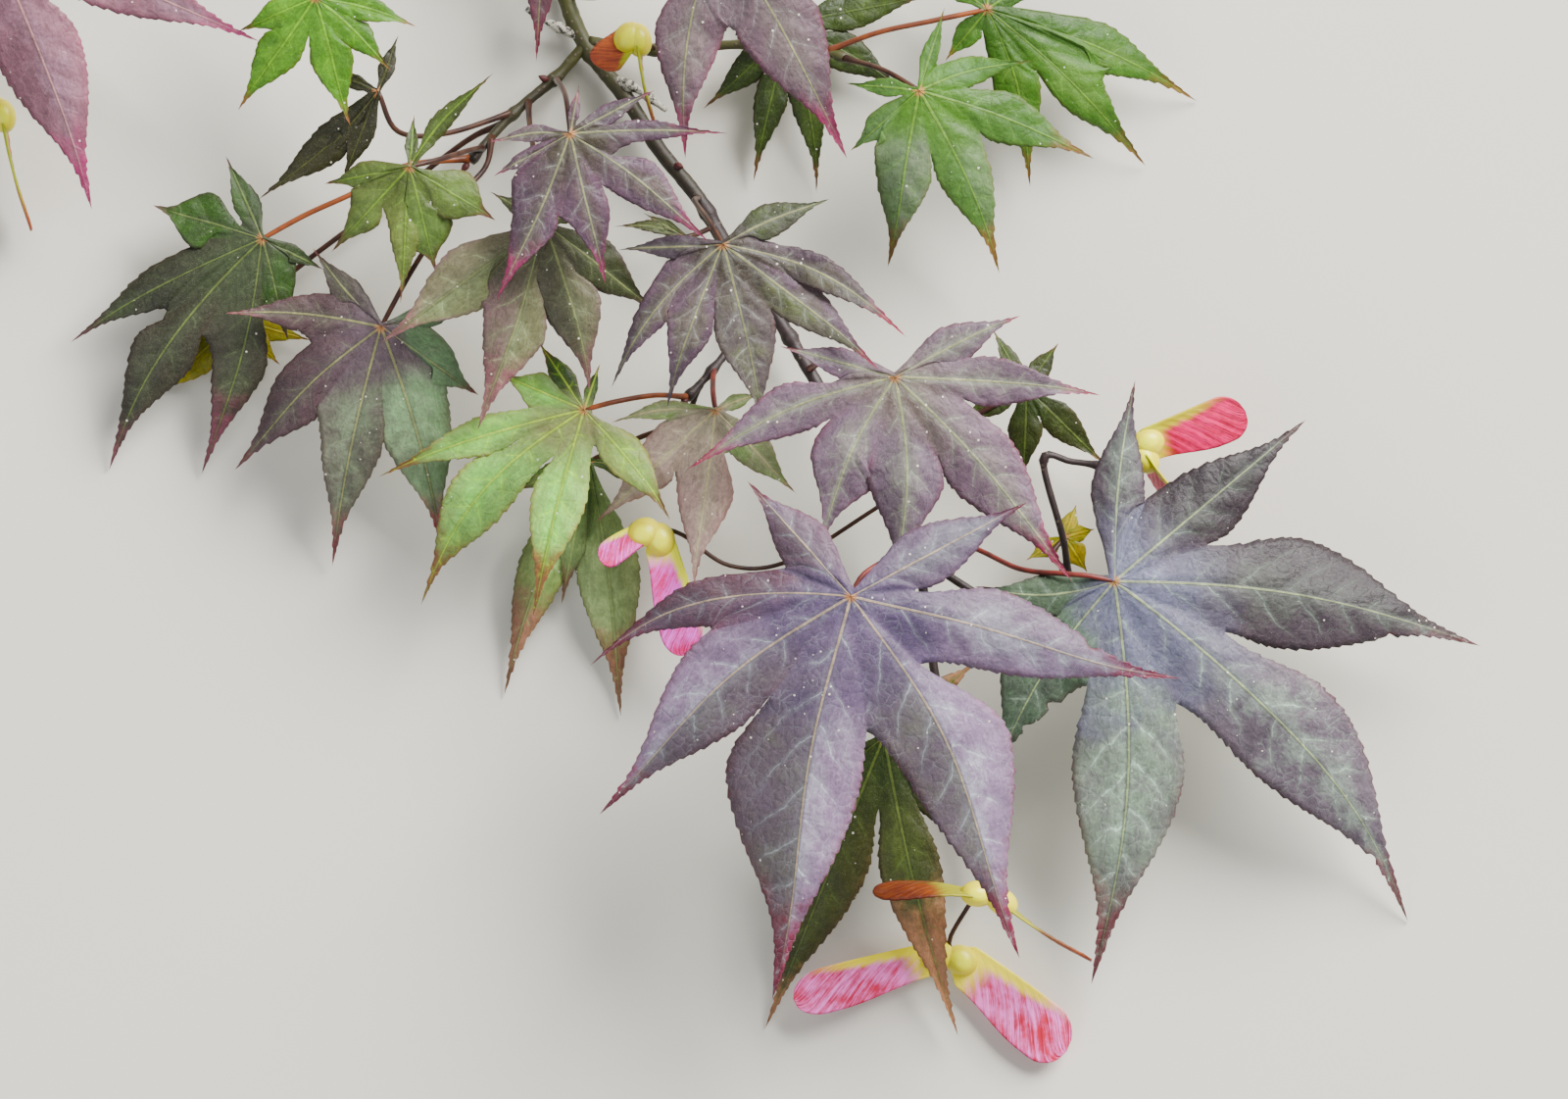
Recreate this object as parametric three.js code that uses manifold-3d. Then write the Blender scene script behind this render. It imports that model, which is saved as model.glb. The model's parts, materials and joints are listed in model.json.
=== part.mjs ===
// A cut branch of maple in leaf, with its winged keys, lying face up on a table.
// Millimetres, +Z up. Leaves are palmate blades on thin stalks, laid in overlapping tiers over one
// zigzag stem. While it is laid out, places are counted from the upper left of the spread, +X to the
// right and +Y towards the stem's cut end. At the end the group is moved over the middle of its box.
import * as THREE from "three";
import { mergeGeometries, mergeVertices } from "three/addons/utils/BufferGeometryUtils.js";
import Module from "manifold-3d";

const wasm = await Module();
wasm.setup();

// Driving dimensions
const BLADE_THICKNESS = 0.9;
const WING_THICKNESS = 0.7;
const STALK_RADIUS = 0.55;
const STALK_SUNK = 0.5;
const SEAT_GAP = 0.3;
const LOBE_WIDTH = 0.145;
const NECK_SHARE = 0.72;
const DEEPEST_NECK = 0.55;
const MARGIN_LIFT = 0.14;
const FULLEST = 0.85;
const TAPER = 1.6;
const CONE_SHARE = 0.6;
const LOBE_ROWS = 5;
const WING_ROWS = 7;
const WING_WIDTH = 7.4;
const WING_SPINE = 0.9;
const WING_CAMBER = 0.7;
const NUTLET = new THREE.Vector3(2.3, 1.7, 1.4);
const NUTLET_OFFSET = 1.9;
const DEGREE = Math.PI / 180;

const bark = new THREE.MeshStandardMaterial({ color: 0x4a3a34, roughness: 0.8, metalness: 0 });
const lichenBark = new THREE.MeshStandardMaterial({ color: 0x9a9890, roughness: 0.9, metalness: 0 });
const purpleBlade = new THREE.MeshStandardMaterial({ color: 0x6e5f7c, roughness: 0.6, metalness: 0 });
const duskyBlade = new THREE.MeshStandardMaterial({ color: 0x5a5a58, roughness: 0.6, metalness: 0 });
const greenBlade = new THREE.MeshStandardMaterial({ color: 0x5f9a4e, roughness: 0.6, metalness: 0 });
const limeBlade = new THREE.MeshStandardMaterial({ color: 0x9ccb62, roughness: 0.6, metalness: 0 });
const keyPink = new THREE.MeshStandardMaterial({ color: 0xe06a92, roughness: 0.5, metalness: 0 });

// Shared vertices are merged and the triangles that merging has flattened are dropped.
function weld(geometry) {
  geometry.deleteAttribute("normal");
  geometry.deleteAttribute("uv");
  const welded = mergeVertices(geometry, 1e-4);
  const kept = [];
  const index = welded.index.array;
  for (let i = 0; i < index.length; i += 3) {
    const [a, b, c] = [index[i], index[i + 1], index[i + 2]];
    if (a !== b && b !== c && c !== a) {
      kept.push(a, b, c);
    }
  }
  welded.setIndex(kept);
  return welded;
}

function toSolid(geometry) {
  const welded = weld(geometry);
  return new wasm.Manifold(new wasm.Mesh({
    numProp: 3,
    vertProperties: new Float32Array(welded.attributes.position.array),
    triVerts: new Uint32Array(welded.index.array),
  }));
}

function toGeometry(solid) {
  const mesh = solid.getMesh();
  const geometry = new THREE.BufferGeometry();
  geometry.setAttribute("position", new THREE.BufferAttribute(mesh.vertProperties, 3));
  geometry.setIndex(new THREE.BufferAttribute(mesh.triVerts, 1));
  return geometry;
}

// An open sheet gets its thickness upwards and downwards, and a wall along each edge that only one
// triangle uses.
function thicken(sheet, thickness) {
  const welded = weld(sheet);
  const position = welded.attributes.position;
  const index = welded.index.array;
  const count = position.count;
  const vertices = [];
  for (const side of [1, -1]) {
    for (let i = 0; i < count; i += 1) {
      const z = position.getZ(i) + side * thickness / 2;
      vertices.push(position.getX(i), position.getY(i), z);
    }
  }
  const edges = new Set();
  for (let i = 0; i < index.length; i += 3) {
    for (let k = 0; k < 3; k += 1) {
      edges.add(`${index[i + k]}_${index[i + (k + 1) % 3]}`);
    }
  }
  const triangles = [];
  for (let i = 0; i < index.length; i += 3) {
    const [a, b, c] = [index[i], index[i + 1], index[i + 2]];
    triangles.push(a, b, c);
    triangles.push(c + count, b + count, a + count);
    for (const [from, to] of [[a, b], [b, c], [c, a]]) {
      if (!edges.has(`${to}_${from}`)) {
        triangles.push(from + count, to + count, to);
        triangles.push(from + count, to, from);
      }
    }
  }
  const geometry = new THREE.BufferGeometry();
  geometry.setAttribute("position", new THREE.Float32BufferAttribute(vertices, 3));
  geometry.setIndex(triangles);
  return toSolid(geometry);
}

// A tapering limb is a cylinder bent along a smooth curve, with a flat cut at each end.
function limb(places, startRadius, endRadius, sides, steps) {
  const curve = new THREE.CatmullRomCurve3(places.map((place) => new THREE.Vector3(...place)));
  const frames = curve.computeFrenetFrames(steps);
  const geometry = new THREE.CylinderGeometry(endRadius, startRadius, 1, sides, steps);
  const position = geometry.attributes.position;
  for (let i = 0; i < position.count; i += 1) {
    const along = position.getY(i) + 0.5;
    const frame = Math.round(along * steps);
    const point = curve.getPointAt(Math.min(Math.max(along, 0), 1));
    point.addScaledVector(frames.binormals[frame], position.getX(i));
    point.addScaledVector(frames.normals[frame], position.getZ(i));
    position.setXYZ(i, point.x, point.y, point.z);
  }
  return toSolid(geometry);
}

// The notch between a lobe and the next one counter-clockwise: wide angles run deep, near the foot.
function notch(leaf, index) {
  const lobe = leaf.lobes[index];
  const next = leaf.lobes[(index + 1) % leaf.lobes.length];
  const gap = (next.bearing - lobe.bearing + 360) % 360;
  const spread = Math.sin(Math.min(gap / 2, 90) * DEGREE);
  const halfWidth = Math.min(lobe.width * lobe.length, next.width * next.length) * NECK_SHARE;
  const reach = Math.min(halfWidth / spread, DEEPEST_NECK * Math.min(lobe.length, next.length));
  const bearing = (lobe.bearing + gap / 2) * DEGREE;
  return new THREE.Vector3(
    leaf.foot[0] + reach * Math.cos(bearing),
    leaf.foot[1] + reach * Math.sin(bearing),
    leaf.foot[2] - leaf.cone * reach + MARGIN_LIFT * reach * spread,
  );
}

// How wide a lobe is along its length: fullest before its middle, then drawn out to a long tip.
function swell(share) {
  return Math.sin(Math.PI * Math.min(share, 1) ** FULLEST) ** TAPER;
}

// One lobe is a grid of three columns, its margins and its midrib, whose rows run from the leaf's
// foot past the notches on both sides to the long drawn-out tip.
function lobeSheet(leaf, index) {
  const lobe = leaf.lobes[index];
  const count = leaf.lobes.length;
  const left = notch(leaf, index);
  const right = notch(leaf, (index + count - 1) % count);
  const foot = new THREE.Vector3(...leaf.foot);
  const along = new THREE.Vector3(Math.cos(lobe.bearing * DEGREE), Math.sin(lobe.bearing * DEGREE), 0);
  const across = new THREE.Vector3(-along.y, along.x, 0);
  const neckLeft = left.clone().sub(foot).dot(along);
  const neckRight = right.clone().sub(foot).dot(along);
  const neck = Math.max((neckLeft + neckRight) / 2 / lobe.length, 0.12);
  const droop = lobe.tip - (leaf.foot[2] - leaf.cone * lobe.length);
  const geometry = new THREE.PlaneGeometry(2, 1, 2, LOBE_ROWS);
  const position = geometry.attributes.position;
  for (let i = 0; i < position.count; i += 1) {
    const row = Math.round((position.getY(i) + 0.5) * LOBE_ROWS);
    const side = -position.getX(i);
    const past = Math.max((row - 1) / (LOBE_ROWS - 1), 0);
    const share = row === 0 ? 0 : neck + (1 - neck) * past;
    const rib = foot.clone().addScaledVector(along, share * lobe.length);
    rib.addScaledVector(across, lobe.bow * lobe.length * Math.sin(Math.PI * share));
    rib.z += droop * past * past - leaf.cone * share * lobe.length;
    let point = rib;
    if (row === 1 && side !== 0) {
      point = side > 0 ? left : right;
    } else if (row > 1 && side !== 0) {
      const halfWidth = lobe.width * lobe.length * swell(share);
      point = rib.addScaledVector(across, side * halfWidth);
      point.z += MARGIN_LIFT * halfWidth;
    }
    position.setXYZ(i, point.x, point.y, point.z);
  }
  return weld(geometry);
}

// A key's wing is a thin blade with a straight spine on one side and a round end.
function wing(centre, [bearing, length, rise, roll, side]) {
  const geometry = new THREE.PlaneGeometry(2, 1, 2, WING_ROWS);
  const position = geometry.attributes.position;
  for (let i = 0; i < position.count; i += 1) {
    const share = position.getY(i) + 0.5;
    const column = -position.getX(i);
    const fullness = Math.max(Math.sin(Math.PI * Math.min(share, 1) ** 1.5), 0) ** 0.7;
    const halfWidth = WING_WIDTH / 2 * Math.max(fullness, share < 0.5 ? 0.2 : 0);
    const spine = WING_SPINE - WING_WIDTH * 0.35 * share ** 6;
    const y = side * (spine - halfWidth) + column * halfWidth;
    position.setXYZ(i, length * share, y, WING_CAMBER * Math.sin(Math.PI * share));
  }
  return thicken(geometry, WING_THICKNESS)
    .rotate([roll, 0, 0])
    .rotate([0, -rise, 0])
    .rotate([0, 0, bearing])
    .translate(centre);
}

function nutlet(centre, [bearing, , rise, roll]) {
  const geometry = new THREE.SphereGeometry(1, 7, 5);
  geometry.scale(NUTLET.x, NUTLET.y, NUTLET.z);
  geometry.translate(NUTLET_OFFSET, 0, 0);
  return toSolid(geometry)
    .rotate([roll, 0, 0])
    .rotate([0, -rise, 0])
    .rotate([0, 0, bearing])
    .translate(centre);
}

const branch = new THREE.Group();

function addPiece(name, solid, material) {
  const mesh = new THREE.Mesh(toGeometry(solid), material);
  mesh.name = name;
  branch.add(mesh);
}

// The stems: the main stem zigzags from its cut end, and each side twig leaves it at a node.
const stems = {
  main_stem: {
    places: [[75.6, 28, 1.8], [77.2, 18, 1.8], [79.2, 8.4, 2], [80.9, 0, 2.3], [83.7, -6.3, 2.6],
      [89.6, -14, 3], [94.1, -21, 3.6], [99.7, -28, 4.2], [103.9, -35, 4.8], [110.6, -44.5, 5.8],
      [115.9, -53.2, 6.8], [123.9, -67.2, 8], [131.6, -80.9, 9]],
    radii: [1.45, 0.95], sides: 10, steps: 26, material: bark,
  },
  left_twig: {
    places: [[83.6, -5.6, 2.7], [81.4, -8.2, 3], [79, -10.8, 3.5], [72.8, -16.1, 5], [66.9, -22.7, 7]],
    radii: [0.95, 0.7], sides: 8, steps: 10, material: bark, from: "main_stem",
  },
  right_twig: {
    places: [[84, -5.4, 2.8], [93.2, -6.7, 4.5], [104.3, -6, 8], [113.4, -5.9, 11], [121.2, -8.1, 13.5]],
    radii: [0.9, 0.65], sides: 8, steps: 12, material: bark, from: "main_stem",
  },
  top_twig: {
    places: [[79.2, 10, 2], [67.2, 11.9, 3.5], [46.2, 14, 6], [21, 17.5, 7.5], [6.3, 16.8, 8]],
    radii: [1.0, 0.65], sides: 8, steps: 14, material: bark, from: "main_stem",
  },
  middle_twig: {
    places: [[109.4, -42.4, 5.6], [104.8, -48.8, 8.5], [101.5, -53, 11], [98, -56.8, 13]],
    radii: [0.75, 0.6], sides: 8, steps: 8, material: bark, from: "main_stem",
  },
  low_stalk: {
    places: [[131.6, -81.4, 9], [134, -98, 8], [137.9, -112, 6.5], [140.4, -123.2, 5.8],
      [139, -128.4, 5.2]],
    radii: [0.8, 0.5], sides: 8, steps: 12, material: bark, from: "main_stem",
  },
  right_stalk: {
    places: [[130.6, -79, 8.8], [142.8, -86.1, 9.5], [151.5, -84.3, 11], [152.3, -78.4, 12.5],
      [149.2, -65.8, 14.5], [153.3, -65.9, 14.6], [158.2, -66.6, 14.8]],
    radii: [0.7, 0.5], sides: 8, steps: 16, material: bark, from: "main_stem",
  },
  dead_twig: {
    places: [[87.2, -10.8, 2.9], [91, -12.4, 4], [95.1, -15.4, 4.4]],
    radii: [0.8, 0.45], sides: 7, steps: 5, material: lichenBark, from: "main_stem",
  },
  dead_spur: {
    places: [[83, -5, 2.6], [78.4, -2.8, 3.8], [74.9, -0.7, 4.2]],
    radii: [0.75, 0.45], sides: 7, steps: 5, material: lichenBark, from: "main_stem",
  },
};

// The room a stem keeps for itself, which is cut from all that grows on it: the gap wider and longer.
function stemSpace(stem) {
  const places = stem.places.map((place) => new THREE.Vector3(...place));
  const last = places.length - 1;
  const startWay = places[0].clone().sub(places[1]).setLength(SEAT_GAP);
  const endWay = places[last].clone().sub(places[last - 1]).setLength(SEAT_GAP);
  places[0].add(startWay);
  places[last].add(endWay);
  const [startRadius, endRadius] = stem.radii;
  return limb(
    places.map((place) => place.toArray()),
    startRadius + SEAT_GAP, endRadius + SEAT_GAP, stem.sides, stem.steps,
  );
}

const stemSpaces = {};
for (const [name, stem] of Object.entries(stems)) {
  const [startRadius, endRadius] = stem.radii;
  let solid = limb(stem.places, startRadius, endRadius, stem.sides, stem.steps);
  if (stem.from) {
    solid = solid.subtract(stemSpaces[stem.from]);
  }
  addPiece(name, solid, stem.material);
  stemSpaces[name] = stemSpace(stem);
}

// The leaves. Each has its foot, where its ribs meet, the stalk's way from there to its stem, and
// its lobes counter-clockwise: bearing in degrees, length, height of the tip above the table, then
// half width and sideways bow as shares of the length where they aren't the usual ones.
const leaves = [
  {
    name: "front_leaf", foot: [121.5, -85.1, 44], on: "main_stem", material: purpleBlade,
    stalk: [[126.7, -81.5, 42], [132.5, -79.6, 34], [135.4, -80, 20], [131.2, -80.2, 9]],
    lobes: [[28, 28.5, 42, 0.15], [132, 22, 42, 0.18], [195, 38.5, 34, 0.1, -0.12],
      [221, 47.5, 32, 0.145, -0.055], [259, 58.5, 31, 0.17, -0.02], [295, 57, 33, 0.145, 0.06],
      [346, 48.5, 37, 0.12]],
  },
  {
    name: "right_leaf", foot: [159.2, -83, 25], on: "main_stem", material: purpleBlade,
    stalk: [[152, -82.5, 22.5], [145.6, -81, 19], [138.5, -78, 13.5], [128.6, -75.6, 8.7]],
    lobes: [[40, 36, 18, 0.155], [84, 29, 22, 0.135, 0.03], [182, 20, 22, 0.16, 0.03],
      [238, 32.5, 16, 0.17, -0.05], [267, 58, 6, 0.14, 0.06], [311, 65, 0.5, 0.12, 0.075],
      [350, 53.5, 12, 0.15, 0.05]],
  },
  {
    name: "middle_leaf", foot: [127.8, -53.9, 32], on: "main_stem", material: purpleBlade,
    stalk: [[124.5, -52, 29], [119.5, -50.6, 20], [115.6, -52.6, 6.8]],
    lobes: [[26, 20, 30, 0.155, 0.02], [165, 17, 30.4, 0.13], [204, 32.5, 28, 0.12, -0.06],
      [246, 26, 28, 0.25, -0.05], [270, 29, 28, 0.21, 0.06], [311, 38.5, 27, 0.145, 0.03],
      [355, 29.5, 29, 0.125, 0.02]],
  },
  {
    name: "upper_leaf", foot: [103.3, -35, 33], on: "main_stem", material: duskyBlade,
    stalk: [[101.2, -31.5, 28], [99.2, -28.6, 15], [99.7, -28, 4.2]],
    lobes: [[23, 16.5, 32, 0.15, 0.03], [183, 15, 30, 0.12], [232, 26, 24, 0.1, -0.07],
      [251, 24.5, 24, 0.15, -0.02], [282, 27, 24, 0.17, 0.02], [321, 28.5, 37, 0.11, 0.02],
      [333, 29.5, 35, 0.085, 0.09]],
  },
  {
    name: "tip_leaf", foot: [81.6, -19.3, 38], on: "left_twig", material: duskyBlade,
    stalk: [[80.9, -14, 34], [79.6, -11.5, 22], [79.2, -11, 3.4]],
    lobes: [[0, 22.5, 37, 0.07, 0.02], [27, 13.5, 37, 0.11], [80, 7, 37, 0.12],
      [186, 11.5, 36, 0.11, -0.05], [209, 12.5, 35, 0.16], [246, 26, 32, 0.14, 0.02],
      [283, 22, 32, 0.16], [322, 25, 36.5, 0.14, 0.03]],
  },
  {
    name: "back_leaf", foot: [77.8, -31.9, 28], on: "left_twig", material: duskyBlade,
    stalk: [[76.8, -25, 23], [75.6, -18, 12], [75.2, -14.1, 4.5]],
    lobes: [[20, 9, 27, 0.14], [150, 9, 27, 0.14], [216, 29, 22, 0.17], [252, 31, 22, 0.15, 0.02],
      [285, 25, 23.5, 0.17, 0.03], [322, 20.5, 22, 0.14]],
  },
  {
    name: "lime_leaf", foot: [83.4, -58.5, 20], on: "middle_twig", material: limeBlade,
    stalk: [[88, -57.3, 19.5], [93.5, -56.4, 17.5], [98.2, -56.6, 12.9]],
    lobes: [[71, 7, 19, 0.13], [124, 12, 17, 0.15], [160, 13.5, 18, 0.22], [199, 31, 16.5, 0.1, -0.03],
      [231, 36.5, 13, 0.13], [256, 31, 14, 0.13, 0.02], [308, 20, 20, 0.15, 0.03]],
  },
  {
    name: "small_leaf", foot: [102.2, -58.5, 19], on: "middle_twig", material: duskyBlade,
    stalk: [[101.9, -56.6, 17.5], [101.8, -54.8, 14.5], [101.9, -52.5, 10.7]],
    lobes: [[22, 7, 19, 0.16], [187, 15, 17, 0.1, -0.06], [223, 23.5, 11, 0.15],
      [263, 25.5, 16, 0.165], [314, 16.5, 17, 0.17]],
  },
  {
    name: "low_left_leaf", foot: [84, -65.8, 8], on: "middle_twig", material: greenBlade,
    stalk: [[91, -62.5, 8], [97.5, -59.8, 8.5], [99.9, -54.8, 11.9]],
    lobes: [[201, 12, 7, 0.16], [250, 36, 0.6, 0.1, -0.03], [259, 27.5, 3, 0.12],
      [277, 37, 1, 0.125, 0.02], [354, 13, 7, 0.16]],
  },
  {
    name: "bright_leaf", foot: [58.5, -23.8, 24], on: "left_twig", material: limeBlade,
    stalk: [[63, -22.6, 20], [67, -21.2, 13], [68.6, -20.8, 6.4]],
    lobes: [[48, 18, 26, 0.08, 0.05], [85, 7.5, 22, 0.13], [191, 12.5, 20, 0.14], [227, 16.5, 18, 0.15],
      [266, 19.5, 21.5, 0.11], [284, 15.5, 21, 0.2], [328, 14.5, 24, 0.2]],
  },
  {
    name: "shade_leaf", foot: [54.3, -46.6, 17], on: "left_twig", material: purpleBlade,
    stalk: [[59, -38, 15.5], [65.5, -28, 12.5], [69.2, -23.5, 9.5], [70, -19.2, 6]],
    lobes: [[12, 13.5, 16, 0.13], [131, 15, 15, 0.15, 0.03], [175, 22.5, 16, 0.13, -0.04],
      [224, 29.5, 7, 0.16, -0.04], [258, 35, 2, 0.135, -0.02], [285, 33, 5, 0.15, 0.03],
      [327, 16.5, 13, 0.19]],
  },
  {
    name: "far_leaf", foot: [37.2, -33.9, 13], on: "left_twig", material: greenBlade,
    stalk: [[43.4, -30.5, 12.7], [50.4, -27.3, 12.2], [57.4, -23.5, 10.5], [66.9, -22.3, 7]],
    lobes: [[114, 13, 11, 0.15], [166, 15.5, 10, 0.2], [208, 31.5, 4, 0.11, -0.03],
      [236, 40, 0.6, 0.135, -0.07], [255, 35, 1, 0.125, 0.04], [284, 15, 9, 0.2], [333, 10, 11, 0.14]],
  },
  {
    name: "dark_leaf", foot: [53.9, -12.9, 19], on: "left_twig", material: greenBlade,
    stalk: [[56.7, -18.6, 16.5], [63.5, -18.8, 11.5], [73.2, -15.6, 4.9]],
    lobes: [[70, 8.5, 18, 0.14], [158, 8.5, 18, 0.13], [222, 23, 16.5, 0.12, 0.04],
      [230, 14.5, 17, 0.1], [248, 14, 17, 0.14]],
  },
  {
    name: "yellow_leaf", foot: [33.3, -45.5, 4], on: "left_twig", material: limeBlade,
    stalk: [[42, -38, 3.6], [56, -27.5, 2.6], [66.5, -19.6, 3.2], [71.7, -17.3, 5.3]],
    lobes: [[149, 9.5, 3, 0.16], [222, 17, 1, 0.17], [314, 9, 3, 0.2], [345, 11, 3, 0.16]],
  },
  {
    name: "top_leaf", foot: [102.6, 10.5, 34], on: "main_stem", material: purpleBlade,
    stalk: [[97, 13, 31], [89, 9, 20], [86.5, 1.5, 8], [80.9, 1.2, 2.2]],
    lobes: [[47, 19, 32, 0.14], [107, 16, 32, 0.15], [158, 20, 31, 0.13], [208, 19.5, 30, 0.12],
      [262, 33.5, 26, 0.15, -0.06], [299, 38, 27, 0.16, 0.02], [351, 22.5, 31, 0.13]],
  },
  {
    name: "under_top_leaf", foot: [112.4, -3.1, 7], on: "right_twig", material: greenBlade,
    stalk: [[110, -4.4, 7.6], [107.2, -6, 8.8]],
    lobes: [[12, 21, 6, 0.13], [72, 12, 7, 0.14], [138, 11, 6, 0.14], [225, 17, 4, 0.14, 0.03],
      [258, 23, 2, 0.11], [280, 24.5, 2, 0.1, 0.04], [330, 19.5, 5, 0.15, 0.04]],
  },
  {
    name: "high_right_leaf", foot: [131.3, -12.9, 23], on: "right_twig", material: greenBlade,
    stalk: [[126.4, -10, 20], [120.6, -8, 13.4]],
    lobes: [[15, 16.5, 23, 0.135, 0.05], [73, 12.5, 22, 0.1], [174, 10.5, 21, 0.13],
      [221, 13, 18, 0.22], [260, 25.5, 12, 0.165], [294, 28.5, 12, 0.14, 0.04],
      [339, 27, 17, 0.145, 0.03]],
  },
  {
    name: "green_corner_leaf", foot: [141.1, -1.1, 15], on: "right_twig", material: greenBlade,
    stalk: [[133, -2.8, 15], [125.5, -4.4, 14.6], [118.2, -7, 12.6]],
    lobes: [[35, 19, 12, 0.13], [87, 16.5, 12, 0.13], [143, 14.5, 12, 0.14], [231, 9.5, 13, 0.2],
      [284, 26, 5, 0.13, 0.06], [316, 32, 1, 0.13, 0.03], [337, 33, 0.6, 0.12, 0.04]],
  },
  {
    name: "corner_leaf", foot: [45.1, 0.3, 26], on: "top_twig", material: limeBlade,
    stalk: [[45, 5.5, 22], [45.6, 10.5, 13], [46.2, 14, 6]],
    lobes: [[37, 13.5, 24, 0.14, 0.04], [92, 13, 24, 0.15], [146, 13.5, 22, 0.15], [203, 12, 22, 0.2],
      [235, 19.5, 20, 0.17], [285, 19, 22, 0.17], [316, 15, 24, 0.17, 0.03],
      [344, 15, 24, 0.14, 0.04]],
  },
  {
    name: "big_corner_leaf", foot: [-1.1, 8.7, 28], on: "top_twig", material: purpleBlade,
    stalk: [[2, 13, 24], [5.8, 15.5, 16], [6.9, 16.8, 8]],
    lobes: [[39, 28.5, 20, 0.13], [86, 25, 12, 0.13], [136, 22, 8, 0.13], [191, 24, 5, 0.12],
      [242, 30.5, 8, 0.13], [290, 41, 18, 0.15, 0.02], [339, 41, 27, 0.11, 0.02]],
  },
  {
    name: "stem_leaf", foot: [80.5, 14.7, 14], on: "main_stem", material: purpleBlade,
    stalk: [[79.8, 17.2, 11], [77.4, 17.4, 1.8]],
    lobes: [[25, 14.5, 12, 0.14], [82, 15.5, 11, 0.14], [135, 17, 9, 0.14], [186, 19, 9, 0.14],
      [260, 23.5, 9, 0.11, -0.05], [304, 12, 11, 0.14]],
  },
  {
    name: "young_leaf", foot: [98, -33.6, 10], on: "main_stem", material: greenBlade,
    stalk: [[99.5, -33.2, 8], [102, -32, 4.5]],
    lobes: [[151, 7, 10, 0.13], [172, 10.5, 10, 0.09, -0.08], [261, 8.5, 9, 0.13]],
  },
  {
    name: "right_back_leaf", foot: [146.7, -55.3, 13], on: "main_stem", material: greenBlade,
    stalk: [[138, -60, 12], [130, -64.5, 10], [122.6, -65, 7.9]],
    lobes: [[54, 8, 12, 0.2], [120, 10, 11, 0.13], [206, 11.5, 11, 0.15], [269, 13.5, 8.5, 0.19],
      [316, 16, 8.5, 0.15]],
  },
  {
    name: "low_back_leaf", foot: [126.3, -105.3, 14], on: "low_stalk", material: greenBlade,
    stalk: [[129.5, -102, 12.8], [134.2, -99, 7.9]],
    lobes: [[39, 17.5, 12, 0.15], [141, 16, 11, 0.16], [219, 22, 7, 0.14], [248, 45.5, 0.5, 0.115],
      [284, 44.5, 4.5, 0.1, -0.02], [310, 23.5, 10.5, 0.13]],
  },
  {
    name: "curled_leaf", foot: [152.3, -76.7, 8], on: "right_stalk", material: limeBlade,
    stalk: [[150.5, -79.2, 9], [152.1, -81.2, 11.9]],
    lobes: [[15, 4.5, 9, 0.3], [70, 5, 7, 0.25], [211, 6.5, 8, 0.22], [303, 6, 6, 0.3]],
  },
];

for (const leaf of leaves) {
  leaf.lobes = leaf.lobes.map(([bearing, length, tip, width = LOBE_WIDTH, bow = 0]) => (
    { bearing, length, tip, width, bow }
  ));
  const fall = leaf.lobes.map((lobe) => (leaf.foot[2] - lobe.tip) / lobe.length);
  leaf.cone = CONE_SHARE * fall.reduce((sum, value) => sum + value, 0) / fall.length;
  const sheets = leaf.lobes.map((lobe, index) => lobeSheet(leaf, index));
  const blade = thicken(mergeGeometries(sheets), BLADE_THICKNESS);
  const [x, y, z] = leaf.foot;
  const stalk = limb([[x, y, z - STALK_SUNK], ...leaf.stalk], STALK_RADIUS, STALK_RADIUS, 6, 6);
  addPiece(leaf.name, blade.add(stalk).subtract(stemSpaces[leaf.on]), leaf.material);
}

// The keys. Each is a pair of nutlets with a wing each, on a thin stalk. A wing has its bearing and
// length, how many degrees it rises, how far its face is rolled from lying flat, and its spine's side.
const keys = [
  {
    name: "low_key", centre: [135.9, -136.5, 2.9], on: "low_stalk",
    stalk: [[136, -134, 3.4], [139, -128.9, 5.1]],
    wings: [[190, 23.5, 7, 0, -1], [326, 22.5, 0, 0, 1]],
  },
  {
    name: "mid_key", centre: [141.6, -127.9, 15.5], on: "low_stalk",
    stalk: [[141.5, -127, 12], [140.2, -124, 5.8]],
    wings: [[176, 17, 3, 76, -1], [327, 17.5, -4, 84, 1]],
  },
  {
    name: "right_key", centre: [162.4, -64, 14.8], on: "right_stalk",
    stalk: [[160, -65.6, 14.8], [157.6, -66.6, 14.8]],
    wings: [[25, 16.5, 2, 20, 1], [312, 14, -8, 70, 1]],
  },
  {
    name: "left_key", centre: [93.6, -75.2, 13], on: "main_stem",
    stalk: [[97.5, -76.4, 12.6], [104.3, -80.8, 11.4], [113, -80, 10], [126.4, -71.8, 8.3]],
    wings: [[196, 9.5, 10, 20, -1], [284, 18.5, -4, 0, 1]],
  },
  {
    name: "top_key", centre: [90.8, -3.6, 13.5], on: "right_twig",
    stalk: [[91.4, -4.6, 11], [93.6, -6.7, 4.6]],
    wings: [[245, 8.5, 8, 10, 1], [281, 15, 0, 80, 1]],
  },
  {
    name: "corner_key", centre: [-0.6, -14.4, 9], on: "top_twig",
    stalk: [[-5, -6, 9], [-2, 9, 9], [11, 17, 7.9]],
    wings: [[200, 16, -12, 30, 1], [284, 19, -4, 80, 1]],
  },
];

for (const key of keys) {
  const stalk = limb([key.centre, ...key.stalk], STALK_RADIUS, STALK_RADIUS, 6, 6);
  let solid = stalk.subtract(stemSpaces[key.on]);
  for (const shape of key.wings) {
    solid = solid.add(nutlet(key.centre, shape)).add(wing(key.centre, shape));
  }
  addPiece(key.name, solid, keyPink);
}

// The origin goes under the middle of the whole branch, at the height of the table.
const box = new THREE.Box3().setFromObject(branch);
const middle = box.getCenter(new THREE.Vector3());
for (const mesh of branch.children) {
  mesh.position.set(-middle.x, -middle.y, -box.min.z);
}

export default branch;
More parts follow.
